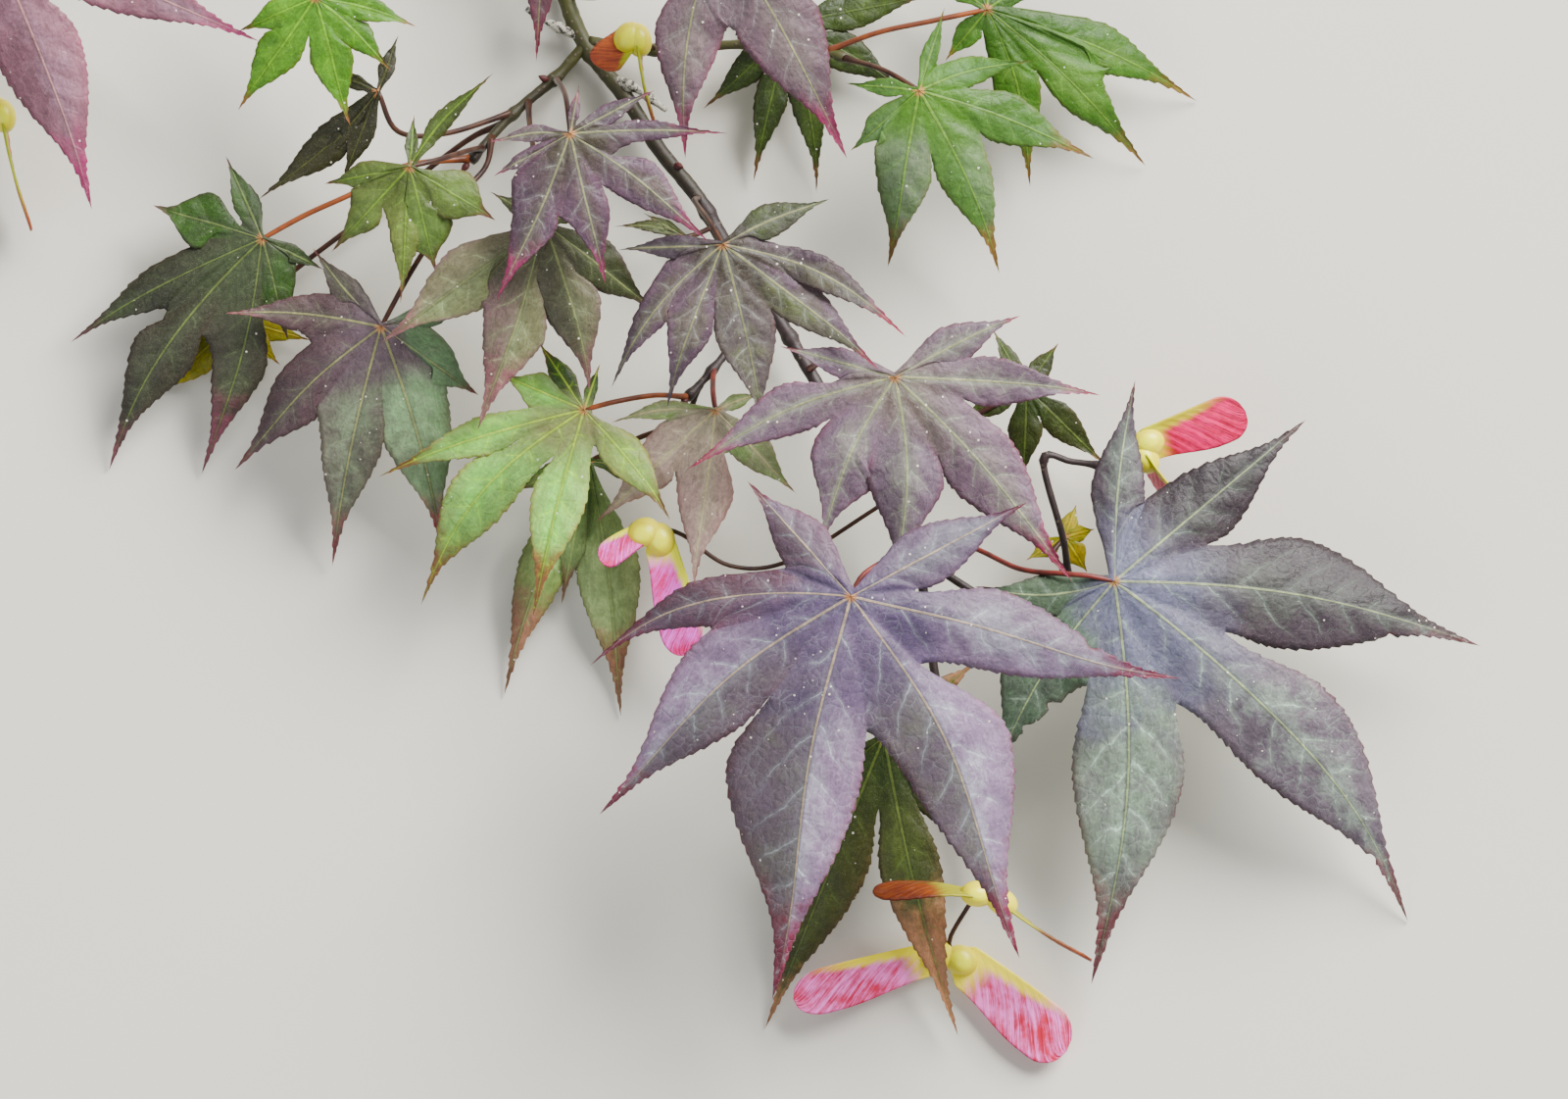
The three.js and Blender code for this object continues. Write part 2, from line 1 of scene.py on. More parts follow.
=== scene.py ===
import json
import math
import random
from functools import partial

import bmesh
import bpy
from mathutils import Euler, Matrix, Quaternion, Vector


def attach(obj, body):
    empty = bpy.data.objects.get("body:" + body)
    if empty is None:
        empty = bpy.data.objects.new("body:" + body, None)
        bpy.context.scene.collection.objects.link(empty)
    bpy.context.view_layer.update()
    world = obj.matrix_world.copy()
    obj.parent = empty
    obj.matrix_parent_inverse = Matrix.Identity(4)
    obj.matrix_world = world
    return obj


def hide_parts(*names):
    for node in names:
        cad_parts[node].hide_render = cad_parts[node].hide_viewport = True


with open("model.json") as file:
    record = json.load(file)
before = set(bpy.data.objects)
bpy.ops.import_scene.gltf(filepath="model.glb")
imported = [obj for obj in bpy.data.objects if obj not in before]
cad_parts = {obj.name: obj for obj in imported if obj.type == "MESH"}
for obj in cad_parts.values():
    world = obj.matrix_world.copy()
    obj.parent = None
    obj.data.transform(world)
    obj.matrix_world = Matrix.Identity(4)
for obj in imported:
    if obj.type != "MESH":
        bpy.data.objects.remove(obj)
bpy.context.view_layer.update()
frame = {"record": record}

# The table, the studio light and the camera. The branch lies face up on a plain pale table top,
# under broad soft lamps, and the camera looks straight down on it through a long lens, so that the
# tiers of leaves keep their places over one another as in the photograph.
MM = 0.001
PIXEL = 0.14                    # millimetres of the branch to one pixel of the photograph
IMAGE_WIDTH, IMAGE_HEIGHT = 1600, 1121
CAMERA_DISTANCE = 3.0
LEVEL_IN_FOCUS = 24.0           # height above the table, in mm, that is drawn exactly to scale

# Places on the branch are laid out in millimetres from the upper left of the spread. The stem's cut
# end is known in both frames, and gives the way from the layout to the frame.
CUT_END = Vector((75.6, 28.0, 1.8))
cut_mount = next(mount for mount in frame["record"]["mounts"] if mount["name"] == "cut_end")
to_frame = Matrix.Translation(Vector(cut_mount["pos_m"])) @ Matrix.Scale(MM, 4)
to_frame = to_frame @ Matrix.Translation(-CUT_END)

# The film-like view pales a colour, sends it through a curve from dark to light, and strengthens it
# again. These undo it: the curve, how strong a colour is on it for how strong it is shown, and how
# strong it was before for how strong it is on the curve.
FILM_TOP, FILM_BEND, FILM_FOOT, FILM_GAIN = 0.874, 0.956, 0.025, 4.23
FILM_PALING, FILM_SPREAD = 0.5, 2.1
DARKEST_SHOWN, LIGHTEST_SHOWN = 0.02, 0.7


def tint(red, green, blue):
    """The linear colour that a shader takes to be seen as this colour, from 0 to 255, in this light."""
    def spread(colour, amount):
        grey = 0.25 * colour[0] + 0.5 * colour[1] + 0.25 * colour[2]
        return [grey + (value - grey) * amount for value in colour]

    linear = [((value / 255 + 0.055) / 1.055) ** 2.4 for value in (red, green, blue)]
    shown = [min(max(value, DARKEST_SHOWN), LIGHTEST_SHOWN) for value in spread(linear, FILM_PALING)]
    deep = [max((value / (FILM_TOP - value)) ** FILM_BEND - FILM_FOOT, 0) / FILM_GAIN for value in shown]
    return (*(min(max(value, 0.002), 0.95) for value in spread(deep, FILM_SPREAD)), 1.0)


def new_material(name, roughness, gloss=0.5):
    """A named material with a principled shader, and its node tree."""
    material = bpy.data.materials.new(name)
    material.use_nodes = True
    shader = material.node_tree.nodes["Principled BSDF"]
    shader.inputs["Roughness"].default_value = roughness
    shader.inputs["Specular IOR Level"].default_value = gloss
    return material, material.node_tree, shader


def add_lamp(name, place, size, power, colour):
    """A broad square lamp that shines on the middle of the branch."""
    data = bpy.data.lights.new(name, "AREA")
    data.shape = "SQUARE"
    data.size = size
    data.energy = power
    data.color = colour
    lamp = bpy.data.objects.new(name, data)
    bpy.context.collection.objects.link(lamp)
    lamp.location = place
    lamp.rotation_euler = (-Vector(place)).to_track_quat("-Z", "Y").to_euler()


view_middle = to_frame @ Vector((IMAGE_WIDTH / 2 * PIXEL, -IMAGE_HEIGHT / 2 * PIXEL, LEVEL_IN_FOCUS))
camera_data = bpy.data.cameras.new("camera")
camera_data.lens = camera_data.sensor_width * CAMERA_DISTANCE / (IMAGE_WIDTH * PIXEL * MM)
camera = bpy.data.objects.new("camera", camera_data)
bpy.context.collection.objects.link(camera)
camera.location = view_middle + Vector((0, 0, CAMERA_DISTANCE))
camera_data.clip_end = 100
bpy.context.scene.camera = camera

add_lamp("sky_window", (0.9, 1.05, 1.1), 1.1, 112, (1.0, 0.98, 0.95))
add_lamp("low_fill", (-0.9, -0.7, 1.4), 1.4, 12, (0.93, 0.96, 1.0))

world = bpy.data.worlds.new("soft_room")
bpy.context.scene.world = world
world.use_nodes = True
world.node_tree.nodes["Background"].inputs["Color"].default_value = (0.93, 0.95, 1.0, 1)
world.node_tree.nodes["Background"].inputs["Strength"].default_value = 0.45

table_bm = bmesh.new()
bmesh.ops.create_grid(table_bm, x_segments=1, y_segments=1, size=6)
table_mesh = bpy.data.meshes.new("table_top")
table_bm.to_mesh(table_mesh)
table_bm.free()
table_top = bpy.data.objects.new("table_top", table_mesh)
bpy.context.collection.objects.link(table_top)
table_paint, _, table_shader = new_material("table_paint", 0.7)
table_shader.inputs["Base Color"].default_value = tint(212, 211, 208)
table_mesh.materials.append(table_paint)


# The stems. The main stem and its side twigs are young wood: a thin smooth bark, dark purple-brown
# where the sun reaches it and olive green near the cut, swollen and ringed where leaves stand in
# pairs. Every stem grows out of the one before it, and leaf stalks grow out of the nodes.
def smooth_path(places, step):
    """Points along a smooth curve through the places, about one step apart."""
    points = [Vector(place) for place in places]
    before = points[0] * 2 - points[1]
    after = points[-1] * 2 - points[-2]
    points = [before, *points, after]
    path = []
    for p0, p1, p2, p3 in zip(points, points[1:], points[2:], points[3:]):
        pieces = max(2, round((p2 - p1).length / step))
        for k in range(pieces):
            t = k / pieces
            bend = (p2 - p0) * t + (p0 * 2 - p1 * 5 + p2 * 4 - p3) * t * t
            bend += (p1 * 3 - p0 - p2 * 3 + p3) * t ** 3
            path.append(p1 + bend / 2)
    path.append(points[-2])
    return path


def add_tube(bm, places, radius_at, sides, step):
    """A tube grown ring by ring along a smooth path. radius_at gives its radius from 0 to 1 along."""
    path = smooth_path(places, step)
    ring = bmesh.ops.create_circle(bm, cap_ends=True, segments=sides, radius=1)["verts"]
    edges = list({edge for vert in ring for edge in vert.link_edges})
    tube = list(ring)
    turn = Quaternion()
    heading = Vector((0, 0, 1))
    last = Matrix.Identity(4)
    for k, point in enumerate(path):
        ahead = path[min(k + 1, len(path) - 1)] - path[max(k - 1, 0)]
        turn = heading.rotation_difference(ahead) @ turn
        heading = ahead
        radius = radius_at(k / (len(path) - 1))
        place = Matrix.Translation(point) @ turn.to_matrix().to_4x4() @ Matrix.Scale(radius, 4)
        if k > 0:
            grown = bmesh.ops.extrude_edge_only(bm, edges=edges)["geom"]
            ring = [item for item in grown if isinstance(item, bmesh.types.BMVert)]
            edges = [item for item in grown if isinstance(item, bmesh.types.BMEdge)]
            edges = [edge for edge in edges if all(vert in ring for vert in edge.verts)]
            tube += ring
        bmesh.ops.transform(bm, matrix=place @ last.inverted(), verts=ring)
        last = place
    bmesh.ops.holes_fill(bm, edges=edges, sides=sides)
    return tube


def paint(verts, number):
    """Gives the faces on these corners the material of this number in their piece."""
    for face in {face for vert in verts for face in vert.link_faces}:
        face.material_index = number


def finish_piece(bm, name, materials, nodes):
    """Puts a finished mesh in the frame as a piece that rides on the branch and replaces its nodes."""
    bmesh.ops.transform(bm, matrix=to_frame, verts=bm.verts)
    mesh = bpy.data.meshes.new(name)
    bm.to_mesh(mesh)
    bm.free()
    mesh.shade_smooth()
    for material in materials:
        mesh.materials.append(material)
    piece = bpy.data.objects.new(name, mesh)
    bpy.context.collection.objects.link(piece)
    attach(piece, "root")
    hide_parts(*nodes)


def add_node(tree, kind, **values):
    """A shader node with its settings, such as operation, and its input values by name or number."""
    node = tree.nodes.new(kind)
    for key, value in values.items():
        if hasattr(node, key):
            setattr(node, key, value)
        else:
            node.inputs[key.replace("_", " ")].default_value = value
    return node


def millimetres(tree):
    """Object coordinates in millimetres, for patterns that are sized in them."""
    place = add_node(tree, "ShaderNodeTexCoord")
    scaled = add_node(tree, "ShaderNodeVectorMath", operation="SCALE", Scale=1 / MM)
    tree.links.new(place.outputs["Object"], scaled.inputs[0])
    return scaled.outputs["Vector"]


def split(tree, vector):
    """The X, Y and Z of a vector."""
    node = add_node(tree, "ShaderNodeSeparateXYZ")
    tree.links.new(vector, node.inputs[0])
    return node.outputs


def noise(tree, place, scale, detail=2.0, roughness=0.5):
    """A noise pattern around 0.5."""
    node = add_node(tree, "ShaderNodeTexNoise", Scale=scale, Detail=detail, Roughness=roughness)
    tree.links.new(place, node.inputs["Vector"])
    return node.outputs["Fac"]


def cells(tree, place, scale, feature="F1"):
    """A pattern of scattered cells: its distances and its colours, one to each cell."""
    node = add_node(tree, "ShaderNodeTexVoronoi", feature=feature, Scale=scale)
    tree.links.new(place, node.inputs["Vector"])
    return node.outputs


def ramp(tree, value, low, high, smooth=True):
    """Runs from 0 to 1 while the value runs from low to high."""
    style = "SMOOTHSTEP" if smooth else "LINEAR"
    node = add_node(tree, "ShaderNodeMapRange", interpolation_type=style, From_Min=low, From_Max=high)
    tree.links.new(value, node.inputs["Value"])
    return node.outputs["Result"]


def reckon(tree, operation, first, second=None):
    """One sum on two values, each a socket or a number."""
    node = add_node(tree, "ShaderNodeMath", operation=operation)
    for place, value in enumerate((first, second)):
        if value is None:
            continue
        if isinstance(value, (int, float)):
            node.inputs[place].default_value = value
        else:
            tree.links.new(value, node.inputs[place])
    return node.outputs[0]


def sums(tree):
    """The three commonest sums in a tree, as functions of two values: times, plus and less."""
    return [partial(reckon, tree, operation) for operation in ("MULTIPLY", "ADD", "SUBTRACT")]


def blend_colour(tree, amount, first, second, blend_type="MIX"):
    """Mixes two colours, each a socket or a colour, by a mask or a number."""
    node = add_node(tree, "ShaderNodeMix", data_type="RGBA", blend_type=blend_type)
    sockets = {socket.identifier: socket for socket in node.inputs}
    for name, value in (("Factor_Float", amount), ("A_Color", first), ("B_Color", second)):
        if isinstance(value, bpy.types.NodeSocket):
            tree.links.new(value, sockets[name])
        else:
            sockets[name].default_value = value
    return {socket.identifier: socket for socket in node.outputs}["Result_Color"]


def surface(tree, shader, colour, height, strength, depth):
    """Gives a shader its colour, and the relief of a height pattern with its depth in mm."""
    tree.links.new(colour, shader.inputs["Base Color"])
    bump = add_node(tree, "ShaderNodeBump", Strength=strength, Distance=depth * MM)
    tree.links.new(height, bump.inputs["Height"])
    tree.links.new(bump.outputs["Normal"], shader.inputs["Normal"])


BARK_SHADE = 0.45               # how bright the bark's second brown is against its first
BARK_STEP = 0.7                 # between the rings of a stem, in mm
NODE_SWELLING = 0.32            # how much a node adds to the radius of its stem, in mm
NODE_REACH = 0.9                # how far along the stem it does so
BUD_LENGTH = 1.5
BUD_WIDTH, BUD_HEIGHT = 0.36, 0.6
BUD_POINT = 0.55                # how far a bud narrows to its tip
BUD_STAND = 0.45                # how far out the middle of a bud stands, as a share of its length


def bark_material(name, sunny, green, pore, green_from, green_to):
    """Thin young bark: streaks of two browns, an olive stretch near the cut, and pale pores."""
    material, tree, shader = new_material(name, 0.55)
    times, plus, _ = sums(tree)
    place = millimetres(tree)
    streaks = noise(tree, place, 1.1, 5, 0.6)
    shady = tuple(value * BARK_SHADE for value in tint(*sunny))
    colour = blend_colour(tree, ramp(tree, streaks, 0.35, 0.65), tint(*sunny), shady)
    height = plus(split(tree, place)["Y"], times(noise(tree, place, 0.25), 26))
    colour = blend_colour(tree, ramp(tree, height, green_from, green_to), colour, tint(*green))
    dots = ramp(tree, cells(tree, place, 0.8)["Distance"], 0.24, 0.12)
    colour = blend_colour(tree, times(dots, 0.75), colour, tint(*pore))
    surface(tree, shader, colour, plus(streaks, dots), 0.6, 0.12)
    return material


young_bark = bark_material("young_bark", (88, 68, 69), (112, 114, 66), (138, 122, 110), 41, 75)
bud_scale = bark_material("bud_scale", (140, 70, 72), (120, 110, 66), (180, 134, 108), 400, 500)


def add_bud(bm, place, heading):
    """A pointed bud: a ball drawn out along its heading."""
    bud = bmesh.ops.create_uvsphere(bm, u_segments=12, v_segments=10, radius=1)["verts"]
    for vert in bud:
        width = BUD_WIDTH * (1 - BUD_POINT * max(vert.co.z, 0))
        vert.co = Vector((vert.co.x * width, vert.co.y * width, vert.co.z * BUD_HEIGHT))
    turn = Vector((0, 0, 1)).rotation_difference(Vector(heading)).to_matrix().to_4x4()
    middle = Matrix.Translation(Vector(place) + Vector(heading).normalized() * BUD_LENGTH * BUD_STAND)
    bmesh.ops.transform(bm, verts=bud, matrix=middle @ turn @ Matrix.Scale(BUD_LENGTH, 4))
    paint(bud, 1)


def stem(name, places, radii, nodes=(), buds=(), bark=young_bark, roughness=0.04):
    """A stem with swollen nodes, at shares of its length, and buds given by place and heading."""
    rough = random.Random(name)
    length = sum((Vector(b) - Vector(a)).length for a, b in zip(places, places[1:]))

    def radius_at(share):
        radius = radii[0] + (radii[1] - radii[0]) * share
        for node in nodes:
            away = (share - node) * length / NODE_REACH
            radius += NODE_SWELLING * math.exp(-away * away)
        return radius * (1 + rough.uniform(-roughness, roughness))

    bm = bmesh.new()
    add_tube(bm, places, radius_at, sides=16, step=BARK_STEP)
    for place, heading in buds:
        add_bud(bm, place, heading)
    finish_piece(bm, name + "_bark", [bark, bud_scale], [name])


stem(
    "main_stem",
    [(75.6, 28, 1.8), (77.2, 18, 1.8), (79.2, 8.4, 2), (80.9, 0, 2.3), (83.7, -6.3, 2.6),
     (89.6, -14, 3), (94.1, -21, 3.6), (99.7, -28, 4.2), (103.9, -35, 4.8), (110.6, -44.5, 5.8),
     (115.9, -53.2, 6.8), (123.9, -67.2, 8), (131.6, -80.9, 9)],
    (1.35, 0.85), nodes=(0.09, 0.17, 0.29, 0.52, 0.62, 0.7, 0.985),
    buds=[((96.4, -23.2, 4.6), (0.6, -0.2, 0.5)), ((107.6, -40.6, 6.2), (0.7, 0.1, 0.4))],
)
stem(
    "left_twig",
    [(83.6, -5.6, 2.7), (81.4, -8.2, 3), (79, -10.8, 3.5), (72.8, -16.1, 5), (66.9, -22.7, 7)],
    (0.85, 0.62), nodes=(0.3, 0.62, 0.97),
    buds=[((66.6, -23.1, 7.1), (-0.6, -0.7, 0.3)), ((78, -11, 4.2), (-0.9, 0.4, 0.4))],
)
stem(
    "right_twig",
    [(84, -5.4, 2.8), (93.2, -6.7, 4.5), (104.3, -6, 8), (113.4, -5.9, 11), (121.2, -8.1, 13.5)],
    (0.8, 0.58), nodes=(0.24, 0.6, 0.97), buds=[((121.2, -8.2, 13.8), (0.8, -0.4, 0.4))],
)
stem(
    "top_twig",
    [(79.2, 10, 2), (67.2, 11.9, 3.5), (46.2, 14, 6), (21, 17.5, 7.5), (6.3, 16.8, 8)],
    (0.9, 0.58), nodes=(0.45, 0.8, 0.97), buds=[((6.2, 16.8, 8.2), (-0.9, 0, 0.3))],
)
stem(
    "middle_twig",
    [(109.4, -42.4, 5.6), (104.8, -48.8, 8.5), (101.5, -53, 11), (98, -56.8, 13)],
    (0.68, 0.55), nodes=(0.7, 0.96), buds=[((98, -56.9, 13.2), (-0.5, -0.7, 0.4))],
)
stem(
    "low_stalk",
    [(131.6, -81.4, 9), (134, -98, 8), (137.9, -112, 6.5), (140.4, -123.2, 5.8), (139, -128.4, 5.2)],
    (0.72, 0.45), nodes=(0.4, 0.88, 0.98),
)
stem(
    "right_stalk",
    [(130.6, -79, 8.8), (142.8, -86.1, 9.5), (151.5, -84.3, 11), (152.3, -78.4, 12.5),
     (149.2, -65.8, 14.5), (153.3, -65.9, 14.6), (158.2, -66.6, 14.8)],
    (0.62, 0.45), nodes=(0.5, 0.83, 0.98),
)

# The dead wood by the fork: two short dry ends of twig, grey and crusted all over with lichen. They
# broke off long ago and stay where they grew.
def lichen_material():
    """Grey bark crusted with pale lichen."""
    material, tree, shader = new_material("lichen_crust", 0.9)
    crust = noise(tree, millimetres(tree), 1.6, 6, 0.65)
    colour = blend_colour(tree, ramp(tree, crust, 0.4, 0.56), tint(104, 96, 92), tint(204, 203, 198))
    surface(tree, shader, colour, crust, 0.9, 0.3)
    return material


lichen = lichen_material()

stem(
    "dead_twig", [(87.2, -10.8, 2.9), (91, -12.4, 4), (95.1, -15.4, 4.4)], (0.72, 0.38),
    nodes=(0.3, 0.7), bark=lichen, roughness=0.14,
)
stem(
    "dead_spur", [(83, -5, 2.6), (78.4, -2.8, 3.8), (74.9, -0.7, 4.2)], (0.68, 0.38),
    nodes=(0.4, 0.8), bark=lichen, roughness=0.14,
)

# The leaves. Each is one thin palmate blade, ribbed and veined, whose lobes are toothed and drawn out
# to long tips, on a slender red or brown stalk. The dusty skin turns from green to purple by patches,
# with crimson margins and withered tips.
LOBE_WIDTH = 0.145              # half the width of a lobe, as a share of its length
NECK_SHARE = 0.72               # half the width of a lobe at its notches, as a share of that
DEEPEST_NECK = 0.55             # the furthest out that a notch lies, as a share of the shorter lobe
STALK_NOTCH_ANGLE = 75          # a notch wider than this, in degrees, is the one the stalk comes out of
STALK_NOTCH_SHARE = 0.4         # how deep that notch is against the others
FOLD = 0.17                     # how far a margin hangs below its rib, as a share of the way between
TWIST = 0.16                    # the furthest that one margin rises and the other falls, as such a share
CONE_SHARE = 0.6                # how much of the tips' drop is shared by all lobes, from the foot on
HOOK_BY_CHANCE = 0.01           # the furthest that a tip turns aside where nothing is given
# Where a leaf gives none, the painted light and shade on each half of a lobe is drawn between these.
PAINTED_HALF_LIGHT_BY_CHANCE = (-0.35, 0.3)
LOBE_SHADE = 0.5                # the furthest that a whole lobe is lighter or darker, by chance
FULLEST = 0.85
TAPER = 1.6
BODY_END = 0.9                  # where the body of a lobe has run out, as a share of the lobe
TAIL_START = 0.3                # where the drawn-out tip begins to tell, as a share of the lobe
TAIL_RISE = 0.4
TAIL_WIDTH = 0.95
JOIN_SHARE = 0.3                # how much of a lobe past its notches it takes to reach its own width
NECK_ROWS = 16                  # rows of the grid up to the notches, the same for every lobe
ROW_STEP = 0.35                 # between the rows past them, in mm
FEWEST_ROWS = 14
TOOTH = 0.062                   # depth of a tooth for each row that it is long, in mm
BITTEN_RIM = 0.6                # how far the tip's colour comes round a bite, for each mm of its depth
COLUMNS = 16
COLUMN_CROWDING = 1.25          # above 1, the columns stand closer by the rib than at the margin
BLADE_THICKNESS = 0.24
RIB_GROOVE = 0.16
RIB_GROOVE_WIDTH = 0.7
VEIN_SPACING = 6.4              # between side veins on a lobe of the usual length, in mm
USUAL_LENGTH = 55
VEIN_SLANT = 0.72
VEIN_CURVE = 0.045
VEIN_STAGGER = 0.15             # how far the veins of one side stand off the other's, in spacings
PILLOW, PILLOW_REACH = 0.2, 2   # how the skin rises between its veins, up to this far from the rib
PILLOW_SHARE = 0.6
RIPPLE, RIPPLE_LENGTH = 0.3, 4.5    # height of the waves along a rib, and a sixth of their length, in mm
WAVE, WAVE_LENGTH = 0.4, 2.9    # the same for the waves of a margin
STALK_RADIUS = 0.4
STALK_SUNK = 0.5                # how far below the foot of the blade its stalk starts, in mm
SKIN_COLOURS = ("outer", "flush", "centre", "second", "margin", "tip", "rib", "vein")
SKIN_VALUES = {                 # what a skin takes where its leaf gives nothing else
    "flush_amount": 0.7, "tip_start": 0.9, "vein_strength": 0.5, "glow": 0.1, "contrast": 0.7,
    "dust": 1, "seed": 0,
}


def join(tree, *values):
    """A vector from two or three values."""
    node = add_node(tree, "ShaderNodeCombineXYZ")
    for value, place in zip(values, node.inputs):
        tree.links.new(value, place)
    return node.outputs[0]


def shift(tree, place, way):
    """A place moved by a vector, or by a value in every direction."""
    node = add_node(tree, "ShaderNodeVectorMath", operation="ADD")
    tree.links.new(place, node.inputs[0])
    tree.links.new(way, node.inputs[1])
    return node.outputs[0]


def uv_pair(tree, name):
    """The two marks that a mesh carries under this name."""
    parts = split(tree, add_node(tree, "ShaderNodeUVMap", uv_map=name).outputs[0])
    return parts["X"], parts["Y"]


def skin_group():
    """The skin of a blade, as a shader group: ribs and veins, patches, margins, tips and dust."""
    group = bpy.data.node_groups.new("leaf_skin", "ShaderNodeTree")
    sockets = [(name, "INPUT", "NodeSocketColor") for name in SKIN_COLOURS]
    sockets += [(name, "INPUT", "NodeSocketFloat") for name in SKIN_VALUES]
    sockets += [("colour", "OUTPUT", "NodeSocketColor")]
    sockets += [(name, "OUTPUT", "NodeSocketFloat") for name in ("roughness", "height")]
    for name, way, kind in sockets:
        group.interface.new_socket(name, in_out=way, socket_type=kind)
    given = add_node(group, "NodeGroupInput").outputs
    result = add_node(group, "NodeGroupOutput").inputs
    times, plus, less = sums(group)
    larger = partial(reckon, group, "MAXIMUM")
    rise = partial(ramp, group)
    blend = partial(blend_colour, group)

    def centred(value, amount):
        return times(less(value, 0.5), amount)

    place = shift(group, millimetres(group), given["seed"])
    off_rib, along = uv_pair(group, "rib")
    column, share = uv_pair(group, "share")
    second, lobe_shade = uv_pair(group, "tint")
    # The vein marks also carry the painted light and shade of each half of a lobe.
    vein_place, painted_half_light = uv_pair(group, "vein")
    reach, ruddy = uv_pair(group, "ends")
    from_rib = reckon(group, "ABSOLUTE", off_rib)
    column = reckon(group, "ABSOLUTE", column)
    clouds = noise(group, place, 0.11, 4, 0.55)
    mottle = noise(group, place, 0.5, 4, 0.6)
    grain = noise(group, place, 2.2, 4, 0.65)
    fine = noise(group, place, 8.0, 2, 0.5)

    # Fine fibres and wrinkles run down each lobe, slightly astray.
    fibre_across = times(plus(off_rib, centred(mottle, 2.4)), 3.4)
    fibre_along = times(plus(along, centred(clouds, 8.0)), 0.5)
    fibres = noise(group, join(group, fibre_across, fibre_along, given["seed"]), 1.0, 3, 0.6)

    # Side veins leave the rib forwards, a few millimetres apart, bend towards the tip and fade out
    # before the margin. A fine broken net lies between them.
    wander = plus(centred(noise(group, place, 0.12, 2), 0.9), centred(noise(group, place, 0.7, 3), 0.16))
    between = reckon(group, "PINGPONG", plus(vein_place, wander), 0.5)
    fading = rise(column, 0.95, 0.3)
    broken = larger(rise(mottle, 0.34, 0.56), times(rise(column, 0.5, 0.1), 0.8))
    line = times(rise(between, 0.045, 0.006), times(fading, broken))
    halo = times(rise(between, 0.17, 0.02), times(fading, 0.26))
    side_veins = larger(line, halo)
    astray = join(group, centred(mottle, 2.2), centred(clouds, 4.0))
    from_net = cells(group, shift(group, place, astray), 0.62, "DISTANCE_TO_EDGE")["Distance"]
    patches = rise(noise(group, place, 0.28, 3), 0.42, 0.62)
    net_lines = times(rise(from_net, 0.05, 0.01), times(patches, 0.34))
    veins = times(larger(side_veins, net_lines), given["vein_strength"])

    # The rib is a line that narrows to the tip, with a soft shadow and a pale glow beside it.
    rib_width = plus(times(less(1.0, share), 0.12), 0.06)
    rib_ratio = reckon(group, "DIVIDE", from_rib, rib_width)
    rib_line = times(rise(rib_ratio, 1.5, 0.7), rise(share, 0.97, 0.7))
    rib_line = times(rib_line, plus(0.72, centred(mottle, 0.8)))
    beside_rib = times(rise(rib_ratio, 4.2, 1.6), rise(share, 1.0, 0.6))
    glow = times(rise(rib_ratio, 7.5, 1.0), broken)
    glow = times(glow, times(rise(share, 1.0, 0.7), given["glow"]))

    # Ground colours: the outer parts of each lobe, a flush along its middle, and the blade's centre.
    flush = less(plus(0.75, centred(clouds, 2.6)), column)
    flush = rise(plus(flush, centred(mottle, 1.2)), 0.05, 0.75)
    flush = times(times(flush, rise(share, 0.12, 0.42)), given["flush_amount"])
    colour = blend(flush, given["outer"], given["flush"])
    blotchy = plus(1.0, plus(centred(clouds, 1.6), centred(mottle, 1.2)))
    second = rise(times(second, blotchy), 0.0, 1.0, smooth=False)
    colour = blend(second, colour, given["second"])
    ruddy = rise(times(ruddy, blotchy), 0.0, 1.0, smooth=False)
    colour = blend(ruddy, colour, given["margin"])
    centre = times(rise(plus(share, centred(clouds, 0.5)), 0.42, 0.05), 0.85)
    colour = blend(centre, colour, given["centre"])

    # Over them come the withered tip, the margin as a frayed band and a thin line, the veins, the
    # rib, and the pale knot where the ribs meet.
    tip_place = plus(plus(share, centred(mottle, 0.26)), times(column, 0.04))
    tip_place = less(plus(tip_place, reach), given["tip_start"])
    colour = blend(rise(tip_place, -0.13, 0.08), colour, given["tip"])
    band = times(rise(plus(column, centred(mottle, 0.3)), 0.72, 1.1), 0.5)
    thin_line = rise(plus(column, centred(grain, 0.1)), 0.93, 0.985)
    thin_line = times(thin_line, rise(mottle, 0.36, 0.56))
    margin = times(larger(band, times(thin_line, 0.85)), rise(share, 0.22, 0.5))
    colour = blend(margin, colour, given["margin"])
    colour = blend(larger(veins, glow), colour, given["vein"])
    colour = blend(rib_line, colour, given["rib"])
    knot = times(rise(plus(along, from_rib), 1.3, 0.5), 0.8)
    colour = blend(knot, colour, tint(206, 172, 140))

    # Light and dark, by doublings. Clouds, mottling, grain and fibres, and a whole lobe lighter or darker by
    # chance, are the skin's own tone. Painted light and shade lies on each lobe's two halves, one lit and
    # one shaded as if turned to and from the lamp. A line of painted shadow lies beside each rib.
    light = plus(centred(clouds, 2.2), centred(mottle, 1.5))
    light = plus(light, plus(centred(grain, 1.5), centred(fibres, 2.6)))
    light = plus(times(light, given["contrast"]), plus(times(lobe_shade, 0.3), painted_half_light))
    shadow = times(beside_rib, times(less(1.0, rib_line), 0.4))
    shadow = times(shadow, less(1.0, times(given["glow"], 1.6)))
    light = reckon(group, "POWER", 2.0, less(light, shadow))
    colour = blend(1, colour, join(group, light, light, light), "MULTIPLY")

    # Dust: scattered pale specks, thicker along the ribs, and a faint bloom.
    specks = cells(group, place, 0.8)
    chance = split(group, specks["Color"])
    size = plus(times(times(chance["Y"], chance["Y"]), 0.1), centred(grain, 0.12))
    speck = rise(less(specks["Distance"], size), 0.07, 0.02)
    near_rib = times(rise(from_rib, 2.2, 0.3), 0.2)
    speck = times(speck, rise(plus(chance["X"], near_rib), 0.72, 0.78))
    bloom = times(rise(fine, 0.55, 0.75), 0.1)
    dust = times(larger(speck, bloom), given["dust"])
    group.links.new(blend(dust, colour, tint(214, 212, 208)), result["colour"])

